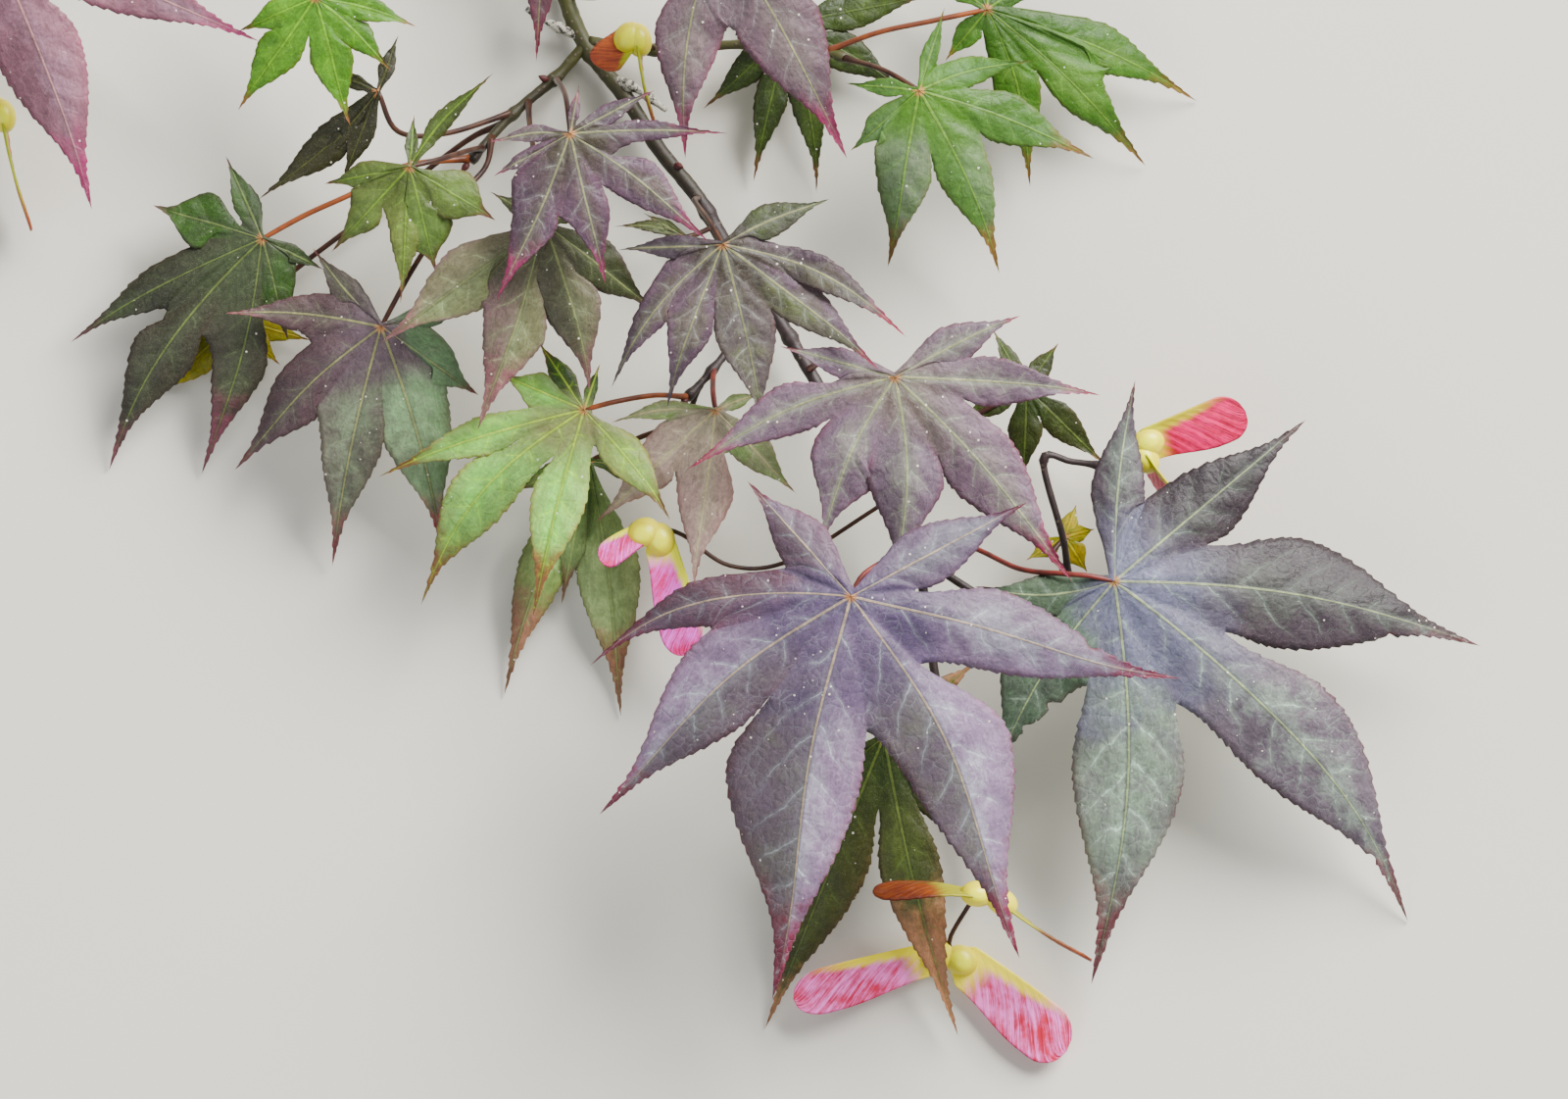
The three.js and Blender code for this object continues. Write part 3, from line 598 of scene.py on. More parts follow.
    roughness = plus(plus(0.36, times(grain, 0.25)), centred(clouds, 0.3))
    group.links.new(roughness, result["roughness"])
    height = plus(times(rib_line, 1.3), times(side_veins, -0.35))
    height = plus(height, plus(times(grain, 0.5), times(mottle, 0.9)))
    height = plus(height, times(rise(from_net, 0.0, 0.3), 0.6))
    height = plus(height, plus(times(fine, 0.12), times(fibres, 0.7)))
    group.links.new(height, result["height"])
    return group


leaf_skin = skin_group()


def skin_material(name, colours, values, gloss=0.3):
    """A blade's skin, from the skin group with this leaf's own colours and values."""
    material, tree, shader = new_material(name, 0.5, gloss)
    skin = add_node(tree, "ShaderNodeGroup", node_tree=leaf_skin)
    for socket in SKIN_COLOURS:
        skin.inputs[socket].default_value = tint(*colours[socket])
    for socket in SKIN_VALUES:
        skin.inputs[socket].default_value = values[socket]
    tree.links.new(skin.outputs["roughness"], shader.inputs["Roughness"])
    surface(tree, shader, skin.outputs["colour"], skin.outputs["height"], 0.45, 0.17)
    return material


def stalk_material(name, colour, other):
    """A leaf stalk's smooth skin, blotched with a second colour along its length."""
    material, tree, shader = new_material(name, 0.4, gloss=0.3)
    place = millimetres(tree)
    blotches = ramp(tree, noise(tree, place, 0.35, 3), 0.4, 0.62)
    blotched = blend_colour(tree, blotches, tint(*colour), tint(*other))
    surface(tree, shader, blotched, noise(tree, place, 3.0, 3), 0.3, 0.1)
    return material


red_stalk = stalk_material("red_stalk", (172, 96, 90), (132, 78, 76))
orange_stalk = stalk_material("orange_stalk", (184, 122, 90), (152, 98, 78))
brown_stalk = stalk_material("brown_stalk", (118, 84, 70), (88, 62, 58))


def smoothstep(value):
    """Eases from 0 to 1 while the value runs from 0 to 1."""
    value = min(max(value, 0), 1)
    return value * value * (3 - 2 * value)


def swell(share, fullest):
    """How wide a lobe is along its length: fullest near its middle, then drawn out to a long tip."""
    body = max(math.sin(math.pi * min(share / BODY_END, 1) ** fullest), 0) ** TAPER
    tail = TAIL_WIDTH * max(1 - share, 0) * smoothstep((share - TAIL_START) / TAIL_RISE)
    return math.hypot(body, tail)


def notch(foot, cone, lobe, following, given):
    """The notch between a lobe and the next one counter-clockwise. Where its place is not given,
    notches run deep between lobes that stand wide apart."""
    gap = (following["bearing"] - lobe["bearing"]) % 360
    spread = math.sin(math.radians(min(gap / 2, 90)))
    if given:
        way = Vector((given[0] - foot.x, given[1] - foot.y, 0))
    else:
        half_width = NECK_SHARE * min(each["width"] * each["length"] for each in (lobe, following))
        reach = min(half_width / spread, DEEPEST_NECK * min(lobe["length"], following["length"]))
        if gap > STALK_NOTCH_ANGLE:
            reach *= STALK_NOTCH_SHARE
        bearing = math.radians(lobe["bearing"] + gap / 2)
        way = Vector((reach * math.cos(bearing), reach * math.sin(bearing), 0))
    way.z = -(FOLD * spread + cone) * way.length
    return foot + way


def tooth_line(rows, chance):
    """How far a margin stands out at each row: teeth of uneven size, all pointing to the tip."""
    line = []
    while len(line) <= rows:
        steps = chance.choice((3, 4, 4, 5, 6))
        depth = TOOTH * steps * chance.uniform(0.6, 1.3)
        line += [depth * (k / (steps - 1) - 0.5) for k in range(steps)]
    return line


def add_lobe(bm, foot, cone, lobe, left, right, layers, chance):
    """One lobe, a grid bent to the lobe's rule: ribbed, pillowed between its veins, and toothed.
    Up to the notches it shares its border points with the lobes beside it, and they grow as one."""
    length = lobe["length"]
    bearing = math.radians(lobe["bearing"])
    along = Vector((math.cos(bearing), math.sin(bearing), 0))
    across = Vector((-along.y, along.x, 0))
    necks = [(side - foot).dot(along) for side in (left, right)]
    neck = min(max(sum(necks) / 2 / length, 0.12), 0.7)
    droop = lobe["tip"] - (foot.z - cone * length)
    rows = NECK_ROWS + max(FEWEST_ROWS, round(length * (1 - neck) / ROW_STEP))
    fold = lobe["fold"] * chance.uniform(0.75, 1.25)
    twist = chance.uniform(-TWIST, TWIST)
    phase = chance.uniform(0, math.tau)
    lobe_shade = chance.uniform(-LOBE_SHADE, LOBE_SHADE)
    slight = min(0.3 + length / 70, 1)
    spacing = VEIN_SPACING * (0.4 + 0.6 * length / USUAL_LENGTH)
    teeth = {side: tooth_line(rows, chance) for side in (1, -1)}
    grid = bmesh.ops.create_grid(bm, x_segments=COLUMNS, y_segments=rows, size=1)["verts"]
    faces = {face for vert in grid for face in vert.link_faces}
    places = {vert: (vert.co.x, round((vert.co.y + 1) / 2 * rows)) for vert in grid}
    marks = {}
    for vert, (x, row) in places.items():
        column = math.copysign(abs(x) ** COLUMN_CROWDING, x)
        at_column = abs(column)
        past = max((row - NECK_ROWS) / (rows - NECK_ROWS), 0)
        share = neck * min(row / NECK_ROWS, 1) + (1 - neck) * past
        free = smoothstep(past / 0.3)
        rib = foot + along * (share * length)
        rib += across * (lobe["bow"] * length * math.sin(math.pi * share))
        rib += across * (lobe["hook"] * length * math.sin(math.tau * share) * share)
        rib.z += droop * past * past - cone * share * length
        ripple = RIPPLE * slight * math.sin(share * length / RIPPLE_LENGTH + phase)
        rib.z += ripple * free * smoothstep((1 - share) / 0.3)
        side = 1 if column > 0 else -1
        corner = left if side > 0 else right
        if row <= NECK_ROWS:
            edge = foot.lerp(corner, row / NECK_ROWS)
        else:
            half_width = lobe["width"] * length * swell(share, lobe["fullest"]) * (1 + side * lobe["lean"])
            start = corner + along * ((share - neck) * length)
            start.z -= cone * (share - neck) * length
            hang = rib + across * (side * half_width)
            hang.z += (side * twist * smoothstep(past / 0.5) - fold) * half_width
            edge = start.lerp(hang, math.sin(min(past / JOIN_SHARE, 1) * math.pi / 2))
        outward = edge - rib
        width = outward.length
        bite = sum(
            depth * smoothstep(1 - abs(share - middle) * length / reach)
            for bitten, middle, depth, reach in lobe["bites"] if bitten == side
        )
        if row > NECK_ROWS and width > 0.05:
            tooth = slight * teeth[side][row] * smoothstep(past / 0.12) * smoothstep((1 - share) / 0.12)
            outward.xy *= 1 + (tooth * at_column ** 5 - bite * at_column ** 3) / width
        eased = at_column * at_column * (3 - 2 * at_column)
        point = rib + outward * at_column
        point.z = rib.z + outward.z * (eased + (at_column - eased) * free)
        from_rib = outward.length * at_column
        room = smoothstep(share / 0.2) * smoothstep((1 - share) / 0.25)
        groove = RIB_GROOVE * math.exp(-(from_rib / RIB_GROOVE_WIDTH) ** 2) * (1 - column ** 4)
        vein_place = share * length - VEIN_SLANT * from_rib - VEIN_CURVE * from_rib ** 2
        vein_place = vein_place / spacing + side * VEIN_STAGGER
        pillow = math.sin(math.pi * vein_place) ** 2
        pillow *= PILLOW * min(from_rib, PILLOW_REACH) * (1 - column ** 4)
        wave = WAVE * slight * math.sin(share * length / WAVE_LENGTH + phase * 2 + side)
        wave = wave * column * column * free
        point.z += (pillow * PILLOW_SHARE + wave) * room - groove * smoothstep((1 - share) / 0.1)
        vert.co = point
        outside = smoothstep((share - 0.08) / 0.25)
        second = lobe["second"][side] * outside
        # Painted light and shade on each half of the lobe, as if one half were turned to the lamp and the
        # other away; none at the rib and near the foot.
        painted_half_light = lobe["halves"][side] * smoothstep(from_rib / 0.5)
        painted_half_light *= smoothstep((share - neck * 0.5) / 0.3)
        withered = lobe["reach"] + BITTEN_RIM * bite * at_column ** 5
        marks[vert] = ((side * from_rib, share * length), (column, share), (second, lobe_shade * free),
                       (vein_place, painted_half_light), (withered, lobe["ruddy"][side] * outside))
    for face in faces:
        for loop in face.loops:
            for layer, mark in zip(layers, marks[loop.vert]):
                loop[layer].uv = mark


def thicken(bm, faces, thickness):
    """Gives a sheet its thickness downwards, closed round its rim. Gives back the underside."""
    below = bmesh.ops.extrude_face_region(bm, geom=faces, use_keep_orig=True)["geom"]
    verts = [item for item in below if isinstance(item, bmesh.types.BMVert)]
    bmesh.ops.translate(bm, verts=verts, vec=(0, 0, -thickness))
    bmesh.ops.recalc_face_normals(bm, faces=bm.faces)
    return [item for item in below if isinstance(item, bmesh.types.BMFace)]


def in_halves(value):
    """What a lobe's left half, 1, and its right half, -1, are given: each its own, or both the same."""
    return dict(zip((1, -1), value if isinstance(value, tuple) else (value, value)))


def stalk_radius(share):
    """A leaf stalk is a little thinner under its blade and swollen where it stands on the twig."""
    return STALK_RADIUS * (1 - 0.2 * math.exp(-share * 18) + 0.7 * math.exp(-(1 - share) * 16))


def leaf(name, foot, stalk, lobes, skin, slot, stalk_skin=brown_stalk, second=(), lean=(), hook=(),
         halves=(), reach=(), ruddy=(), notches=(), bites=(), fullest=(), fold=FOLD, **values):
    """One leaf: its lobes joined in one toothed blade, given its thickness, and its stalk. For each
    lobe, second says how far it takes the skin's second colour, whole or by its left and right
    halves, ruddy how far it takes the colour of the margin, halves how much painted light, or painted
    shade where below 0, lies on its two halves, in doublings, lean how far it fills to its left, hook
    how far its tip turns to its right, and reach how much further down the colour of its tip comes. A
    larger fullest makes a lobe widest nearer to its tip. Insects took the bites: each gives the lobe, the
    side, 1 for left and -1 for right, its place as a share of the lobe, and its depth and half its length
    in mm. The values are those of the skin."""
    chance = random.Random(name)
    bm = bmesh.new()
    layers = [bm.loops.layers.uv.new(each) for each in ("rib", "share", "tint", "vein", "ends")]
    foot = Vector(foot)

    def own(given, k, usual):
        return given[k] if k < len(given) else usual

    names = ("bearing", "length", "tip", "width", "bow")
    usual = (None, None, None, LOBE_WIDTH, 0)
    lobes = [dict(zip(names, (*lobe, *usual[len(lobe):]))) for lobe in lobes]
    for k, lobe in enumerate(lobes):
        lobe["second"] = in_halves(own(second, k, 0))
        lobe["ruddy"] = in_halves(own(ruddy, k, 0))
        lobe["lean"] = own(lean, k, 0)
        lobe["reach"] = own(reach, k, 0)
        lobe["fullest"] = own(fullest, k, FULLEST)
        lobe["hook"] = hook[k] if k < len(hook) else chance.uniform(-HOOK_BY_CHANCE, HOOK_BY_CHANCE)
        by_chance = (chance.uniform(*PAINTED_HALF_LIGHT_BY_CHANCE), chance.uniform(*PAINTED_HALF_LIGHT_BY_CHANCE))
        lobe["halves"] = in_halves(own(halves, k, by_chance))
        lobe["fold"] = fold
        lobe["bites"] = [bite[1:] for bite in bites if bite[0] == k]
    cone = CONE_SHARE * sum((foot.z - lobe["tip"]) / lobe["length"] for lobe in lobes) / len(lobes)
    corners = [
        notch(foot, cone, lobe, lobes[(k + 1) % len(lobes)], own(notches, k, None))
        for k, lobe in enumerate(lobes)
    ]
    for k, lobe in enumerate(lobes):
        add_lobe(bm, foot, cone, lobe, corners[k], corners[k - 1], layers, chance)
    bmesh.ops.remove_doubles(bm, verts=bm.verts, dist=0.02)
    bmesh.ops.dissolve_degenerate(bm, dist=0.005, edges=bm.edges)
    for face in thicken(bm, bm.faces[:], BLADE_THICKNESS):
        face.material_index = 1
    top = foot - Vector((0, 0, STALK_SUNK))
    paint(add_tube(bm, [top, *stalk], stalk_radius, sides=10, step=1.0), 2)
    values = SKIN_VALUES | values | {"seed": chance.uniform(0, 300)}
    backs = {socket: skin["back"] for socket in SKIN_COLOURS} | {"rib": skin["rib"]}
    materials = [
        skin_material(name + "_skin", skin, values),
        skin_material(name + "_underside", backs, values | {"dust": 0}, gloss=0.2),
        stalk_skin,
    ]
    finish_piece(bm, name + "_blade", materials, [name])


def skin_of(outer, flush, centre, margin, tip, second=None, rib=(178, 178, 140), vein=(192, 194, 190),
            back=(146, 156, 128)):
    """The colours of one kind of blade, as they look in the soft light, from 0 to 255."""
    return {
        "outer": outer, "flush": flush, "centre": centre, "margin": margin, "tip": tip,
        "second": second or flush, "rib": rib, "vein": vein, "back": back,
    }


# violet's second colour, an olive grey, lies on the front leaf's darker halves: partly the leaf's own olive,
# partly the colour of painted shade.
violet = skin_of((152, 135, 157), (164, 163, 171), (110, 96, 132), (130, 76, 94), (144, 60, 86),
                 second=(112, 110, 92), rib=(196, 184, 166), vein=(190, 194, 196))
slate = skin_of((132, 122, 132), (150, 160, 152), (148, 150, 172), (108, 74, 84), (126, 76, 82),
                second=(124, 146, 122), rib=(188, 194, 166), vein=(188, 198, 190))
mauve = skin_of((150, 132, 148), (157, 154, 150), (148, 136, 126), (148, 84, 108), (186, 80, 120),
                second=(118, 112, 100), rib=(184, 184, 154), vein=(188, 194, 182))
umber = skin_of((130, 110, 126), (126, 124, 106), (90, 84, 62), (110, 68, 78), (216, 78, 140),
                second=(116, 136, 78), rib=(182, 180, 146))
dusk = skin_of((130, 108, 126), (118, 114, 98), (98, 94, 66), (132, 78, 98), (182, 88, 130),
               second=(84, 78, 60), rib=(180, 180, 150))
# lime's second colour, a dark green, is painted shade on the lime leaf's two small lobes.
lime = skin_of((158, 190, 134), (164, 206, 144), (162, 154, 122), (176, 146, 108), (148, 106, 76),
               second=(70, 88, 42), rib=(192, 204, 140), vein=(196, 216, 152), back=(160, 184, 120))
rose = skin_of((190, 176, 170), (188, 186, 170), (172, 168, 148), (178, 132, 132), (182, 118, 122),
               second=(158, 178, 128), rib=(200, 194, 168), vein=(206, 202, 192))
smoke = skin_of((120, 98, 104), (128, 126, 116), (138, 120, 130), (108, 74, 76), (162, 90, 98),
                second=(138, 164, 130), vein=(164, 172, 150))
bottle = skin_of((92, 92, 76), (102, 112, 86), (98, 114, 80), (88, 66, 62), (148, 92, 108),
                 second=(78, 116, 48), rib=(150, 164, 108), vein=(140, 156, 118), back=(112, 128, 92))
spring = skin_of((118, 140, 80), (132, 158, 96), (106, 122, 64), (124, 100, 68), (150, 96, 84),
                 second=(70, 84, 44), rib=(156, 180, 104), vein=(156, 184, 112), back=(136, 160, 92))
olive = skin_of((138, 142, 108), (146, 160, 122), (106, 96, 82), (142, 106, 120), (150, 108, 110),
                second=(98, 104, 66), rib=(174, 178, 138), vein=(178, 186, 158))
meadow = skin_of((118, 160, 88), (130, 164, 118), (112, 156, 68), (128, 130, 70), (160, 122, 78),
                 second=(146, 156, 136), rib=(158, 186, 112), vein=(162, 192, 132), back=(130, 158, 98))
fern = skin_of((102, 148, 68), (124, 158, 88), (84, 124, 48), (120, 122, 62), (162, 124, 76),
               rib=(148, 180, 100), vein=(150, 182, 114), back=(126, 156, 88))
bloom = skin_of((146, 127, 136), (147, 141, 136), (134, 120, 126), (150, 80, 108), (172, 76, 118),
                second=(112, 106, 88))
rosy = skin_of((152, 110, 124), (148, 118, 128), (134, 104, 116), (154, 74, 100), (172, 76, 106),
               second=(112, 96, 88))
shade = skin_of((76, 94, 38), (96, 118, 56), (66, 86, 32), (92, 76, 44), (150, 100, 84),
                rib=(120, 144, 76), vein=(124, 150, 86), back=(96, 116, 60))
sage = skin_of((142, 162, 108), (162, 184, 138), (92, 116, 60), (126, 116, 80), (156, 118, 98),
               second=(164, 178, 140), rib=(176, 188, 142), vein=(174, 188, 148), back=(120, 138, 92))
fresh = skin_of((116, 164, 62), (130, 172, 78), (108, 156, 56), (138, 130, 66), (172, 120, 88),
                rib=(160, 194, 104), vein=(166, 204, 116), back=(132, 166, 80))
blush = skin_of((168, 130, 142), (164, 138, 150), (152, 118, 132), (160, 82, 116), (170, 78, 122),
                rib=(204, 176, 172), vein=(196, 174, 182))
moss = skin_of((72, 72, 36), (82, 88, 46), (58, 60, 30), (78, 62, 38), (104, 74, 54),
               rib=(112, 116, 66), vein=(98, 104, 62), back=(88, 92, 58))
deep = skin_of((88, 98, 54), (96, 118, 60), (72, 94, 32), (110, 76, 56), (182, 144, 116),
               second=(70, 68, 40), rib=(140, 156, 92), vein=(128, 148, 88), back=(104, 118, 66))
gold = skin_of((186, 182, 60), (204, 186, 66), (166, 172, 60), (176, 132, 60), (190, 120, 60),
               rib=(208, 204, 110), vein=(206, 204, 110), back=(176, 172, 80))

leaf(
    "front_leaf", (121.5, -85.1, 44),
    [(123.4, -81.9, 43.1), (128.2, -79.4, 40.6), (133.2, -79.2, 33), (135.4, -80, 20), (131.2, -80.2, 9)],
    [(28, 28.5, 42, 0.15), (132, 22, 42, 0.18), (195, 38.5, 34, 0.1, -0.12),
     (221, 47.5, 32, 0.145, -0.055), (259, 58.5, 31, 0.17, -0.02), (295, 57, 33, 0.145, 0.06),
     (346, 48.5, 37, 0.12)],
    violet, "purple_leaf", red_stalk, lean=(0, 0, 0.05, 0, -0.2, 0.1),
    hook=(0, 0, 0.02, -0.015, -0.02, 0.02, 0.02),
    notches=(None, (110.9, -81.3), (101.4, -90), (110, -99.3), (123.8, -104), (131.3, -94.8), (130.6, -84.4)),
    # The second colour lies on the halves painted darker: partly the leaf's own olive, partly painted shade.
    second=(0, (0.3, 0), (0, 0.3), (0.5, 0), (0.05, 0.6), (0, 0.6), (0.1, 0)),
    halves=((-0.4, -0.5), (-0.4, 0), (-0.4, -0.7), (-0.1, 0.6), (0.85, 0.2), (0.8, 0.1), (0.1, 0.2)),
    reach=(0, 0, 0.06, 0, 0.06, 0.04, 0.05), ruddy=(0, 0.4, 0.6, 0.05, 0.05),
    bites=((6, 1, 0.72, 0.8, 1.5),), fold=0.3, contrast=0.62,
)
leaf(
    "right_leaf", (159.2, -83, 25),
    [(155.4, -82.2, 25), (151.6, -81.9, 24.2), (145.6, -81.2, 20.6), (138.5, -78, 13.5), (128.6, -75.6, 8.7)],
    [(40, 36, 18, 0.155), (84, 29, 22, 0.135, 0.03), (182, 20, 22, 0.16, 0.08),
     (238, 32.5, 16, 0.19, -0.05), (267, 58, 6, 0.14, 0.06), (311, 65, 0.5, 0.12, 0.075),
     (350, 53.5, 12, 0.15, 0.05)],
    slate, "purple_leaf", red_stalk, second=(0, 0, 0.9, 0.9, 0.55), lean=(0, 0, 0, -0.15),
    fullest=(0.85, 0.85, 0.85, 0.85, 0.9, 1.1, 0.95), hook=(0, 0, 0, 0, 0, -0.02, 0),
    bites=((3, 1, 0.61, 1.2, 1.1), (3, 1, 0.75, 0.9, 1), (5, -1, 0.84, 0.6, 1.3), (6, -1, 0.75, 0.5, 1.5)),
    notches=((163.9, -71.1), None, (151.3, -87.4), (155.3, -98), (168.1, -100.5), (175, -90.3),
             (172.5, -77.8)),
    halves=((-1.6, -1.4), (-0.6, -0.5), (-0.4, -0.2), (-0.3, 0), (0.9, 1.2), (0.5, 0.3), (-1.5, -0.6)),
    reach=(0, 0, 0, 0, 0.08), ruddy=(0.35, 0.1, 0.1, 0, 0.05, 0, 0.3),
    fold=0.24, tip_start=0.92, contrast=0.75,
)
leaf(
    "middle_leaf", (127.8, -53.9, 32),
    [(124.5, -52, 29), (119.5, -50.6, 20), (115.6, -52.6, 6.8)],
    [(26, 20, 30, 0.155, 0.02), (165, 17, 30.4, 0.13), (204, 32.5, 28, 0.12, -0.06),
     (246, 26, 28, 0.25, -0.05), (270, 29, 28, 0.21, 0.06), (311, 38.5, 27, 0.145, 0.03),
     (355, 29.5, 29, 0.125, 0.02)],
    mauve, "purple_leaf", red_stalk, second=(0.2, 0, 0, 0, 0, 0, 0.1), tip_start=0.93, vein_strength=0.48,
    flush_amount=0.8, glow=0.36, reach=(0, 0, 0.07, -0.1, -0.1, 0.07, 0.02),
    ruddy=(0.05, 0.1, 0.1, 0.05, 0, 0.15, 0.1),
    halves=((0, -0.2), (0, 0.1), (0.1, 0.2), (-0.1, 0), (0.1, -0.4), (0.1, -0.2), (-0.2, 0.1)),
    notches=(None, (118.7, -54.7), (118.7, -59.8), (124, -67.2), (133.8, -65), (137.6, -57.1), (135, -51.4)),
)
leaf(
    "upper_leaf", (103.3, -35, 33),
    [(101.2, -31.5, 28), (99.2, -28.6, 15), (99.7, -28, 4.2)],
    [(23, 16.5, 32, 0.15, 0.03), (183, 15, 30, 0.12), (232, 26, 24, 0.1, -0.07),
     (251, 24.5, 24, 0.15, -0.02), (282, 27, 24, 0.17, 0.02), (321, 28.5, 37, 0.12, 0.02),
     (333, 29.5, 35, 0.085, 0.09)],
    umber, "dusky_leaf", second=(0.6, 0, 0, 0, 0.3, (0, 0.6), (0, 0.3)), tip_start=0.93,
    vein_strength=0.42, glow=0.22,
    halves=((-1.1, -0.9), (-1.2, -1), (0.3, -0.2), (0.2, 0.2), (0.5, 0.7), (0.1, 0), (-0.7, -0.5)),
    reach=(-0.2, -0.2, -0.2, -0.2, -0.2, -0.03, 0.06), ruddy=(0, 0, 0.15, 0.1, 0, 0.15, 0.2),
    notches=(None, (95.2, -37.4), (95.2, -45.4), (102.1, -42.8), (110, -44.1), (112.4, -39.3),
             (107.7, -33.9)),
)
leaf(
    "tip_leaf", (81.6, -19.3, 38), [(80.9, -14, 34), (79.6, -11.5, 22), (79.2, -11, 3.4)],
    [(0, 22.5, 37, 0.07, 0.02), (27, 13.5, 37, 0.11), (80, 7, 37, 0.12), (186, 11.5, 36, 0.11, -0.05),
     (209, 12.5, 35, 0.16), (246, 26, 32, 0.14, 0.02), (283, 22, 32, 0.16),
     (322, 25, 36.5, 0.14, 0.03)],
    dusk, "dusky_leaf", vein_strength=0.48, glow=0.14,
    halves=((-0.4, -0.4), (-0.3, -0.2), (-0.2, 0), (-0.3, -0.2), (0, -0.2), (0, -0.3), (-0.1, 0.1),
            (0.2, -0.1)),
    reach=(0.14, 0, 0.2, 0, 0, 0.13, 0.05, 0.07), ruddy=(0.1, 0, 0.5, 0.1, 0.2, 0.1, 0.15, 0.1),
    notches=(None, None, None, None, (73.2, -26), (79.8, -31.1), (86.1, -26.7), (87.4, -22.5)),
)
leaf(
    "back_leaf", (77.8, -31.9, 28), [(76.8, -25, 23), (75.6, -18, 12), (75.2, -14.1, 4.5)],
    [(20, 9, 27, 0.14), (150, 9, 27, 0.14), (216, 29, 22, 0.17), (252, 31, 22, 0.16, 0.02),
     (285, 25, 23.5, 0.18, 0.03), (322, 20.5, 22, 0.18)],
    olive, "dusky_leaf", second=(0.5, 0.5, 0, 0, 0, 0.6), vein_strength=0.48, glow=0.22,
    halves=((-0.3, -0.2), (-0.2, -0.2), (0.7, 0.8), (0.6, 0.4), (0.1, -1), (-0.9, -0.9)),
    reach=(0, 0, 0.05, 0.18, 0.08), ruddy=(0, 0, (0, 0.3), (0.12, 0.65), 0.25),
    notches=(None, None, (68.2, -42.1), (76.7, -39.8)),
)
leaf(
    "lime_leaf", (83.4, -58.5, 20), [(88, -57.3, 19.5), (93.5, -56.4, 17.5), (98.2, -56.6, 12.9)],
    [(71, 7, 19, 0.13), (124, 12, 17, 0.15), (157, 13.2, 18, 0.25), (198, 31, 16.5, 0.095, -0.03),
     (230, 36.5, 13, 0.118, -0.1), (256, 30.5, 14, 0.13, -0.015), (308, 20, 20, 0.15, 0.03)],
    # The two small lobes by the stalk take the dark green second colour all over, with darker halves: painted
    # shade.
    lime, "lime_leaf", orange_stalk, second=(1, 1, (0, 0.3)), tip_start=0.8, contrast=0.5,
    halves=((-0.5, -0.4), (-0.4, -0.4), (0.1, 0), (0.1, 0), (-0.1, 0.2), (0.8, 0.7), (0.2, 0)),
    reach=(0, 0, -0.1, 0, 0.02, 0.06, -0.02), ruddy=(0, 0, 0.1, 0.15, 0.05, 0.1, 0.4),
    fullest=(0.85, 0.85, 0.85, 0.85, 1.15),
    notches=(None, None, (76, -58.1), (74.1, -62.7), (79, -65.1), (84.7, -63.6), (84.6, -59.1)),
)
leaf(
    "small_leaf", (102.2, -58.5, 19), [(101.9, -56.6, 17.5), (101.8, -54.8, 14.5), (101.9, -52.5, 10.7)],
    [(22, 7, 19, 0.16), (187, 15, 17, 0.1, -0.06), (223, 23.5, 11, 0.15), (263, 25.5, 16, 0.165),
     (314, 16.5, 17, 0.17)],
    rose, "dusky_leaf", red_stalk, second=(0.9, 1, 0.1, 0, 0.9), tip_start=0.95, vein_strength=0.48,
    glow=0.34, ruddy=(0, 0, 0.15, 0.2),
    notches=(None, (94.1, -60.5), (96.3, -67.2), (103.5, -64.8)),
)
leaf(
    "low_left_leaf", (84, -65.8, 8), [(91, -62.5, 8), (97.5, -59.8, 8.5), (99.9, -54.8, 11.9)],
    [(201, 12, 7, 0.16), (250, 36, 0.6, 0.1, -0.03), (259, 21, 3.5, 0.13), (277, 37, 1, 0.125, 0.02),
     (354, 13, 7, 0.16)],
    sage, "green_leaf", second=(0, 0, 0.3, 0.8, 0.5), tip_start=0.8, vein_strength=0.4,
    halves=((0, 0), (1, 0.2), (-0.2, -0.2), (0.3, 0.6), (0, 0)), reach=(0, 0.16, 0, 0.08),
    ruddy=(0, (0, 0.3)),
)
leaf(
    "bright_leaf", (58.5, -23.8, 24), [(63, -22.6, 20), (67, -21.2, 13), (68.6, -20.8, 6.4)],
    [(48, 18, 26, 0.08, 0.05), (85, 7.5, 22, 0.13), (191, 12.5, 20, 0.19), (227, 16.5, 18, 0.19),
     (266, 19.5, 21.5, 0.12), (284, 15.5, 21, 0.25), (328, 14.5, 24, 0.25)],
    spring, "lime_leaf", second=((0.3, 0.6), 0.8, (0, 0.2)), contrast=0.6,
    halves=((-0.1, -0.2), (-0.3, -0.3), (-0.3, 0), (0, -0.1), (0.5, 0.5), (-0.2, 0), (0.3, 0.1)),
    ruddy=(0.1, 0, 0.1, 0.15, 0.25, 0, 0.1), fullest=(0.85, 0.85, 0.85, 0.85, 0.85, 1.5, 1.2),
    notches=(None, None, (50.1, -27), (54.6, -29.6), (57.6, -29), (61.3, -29)),
)
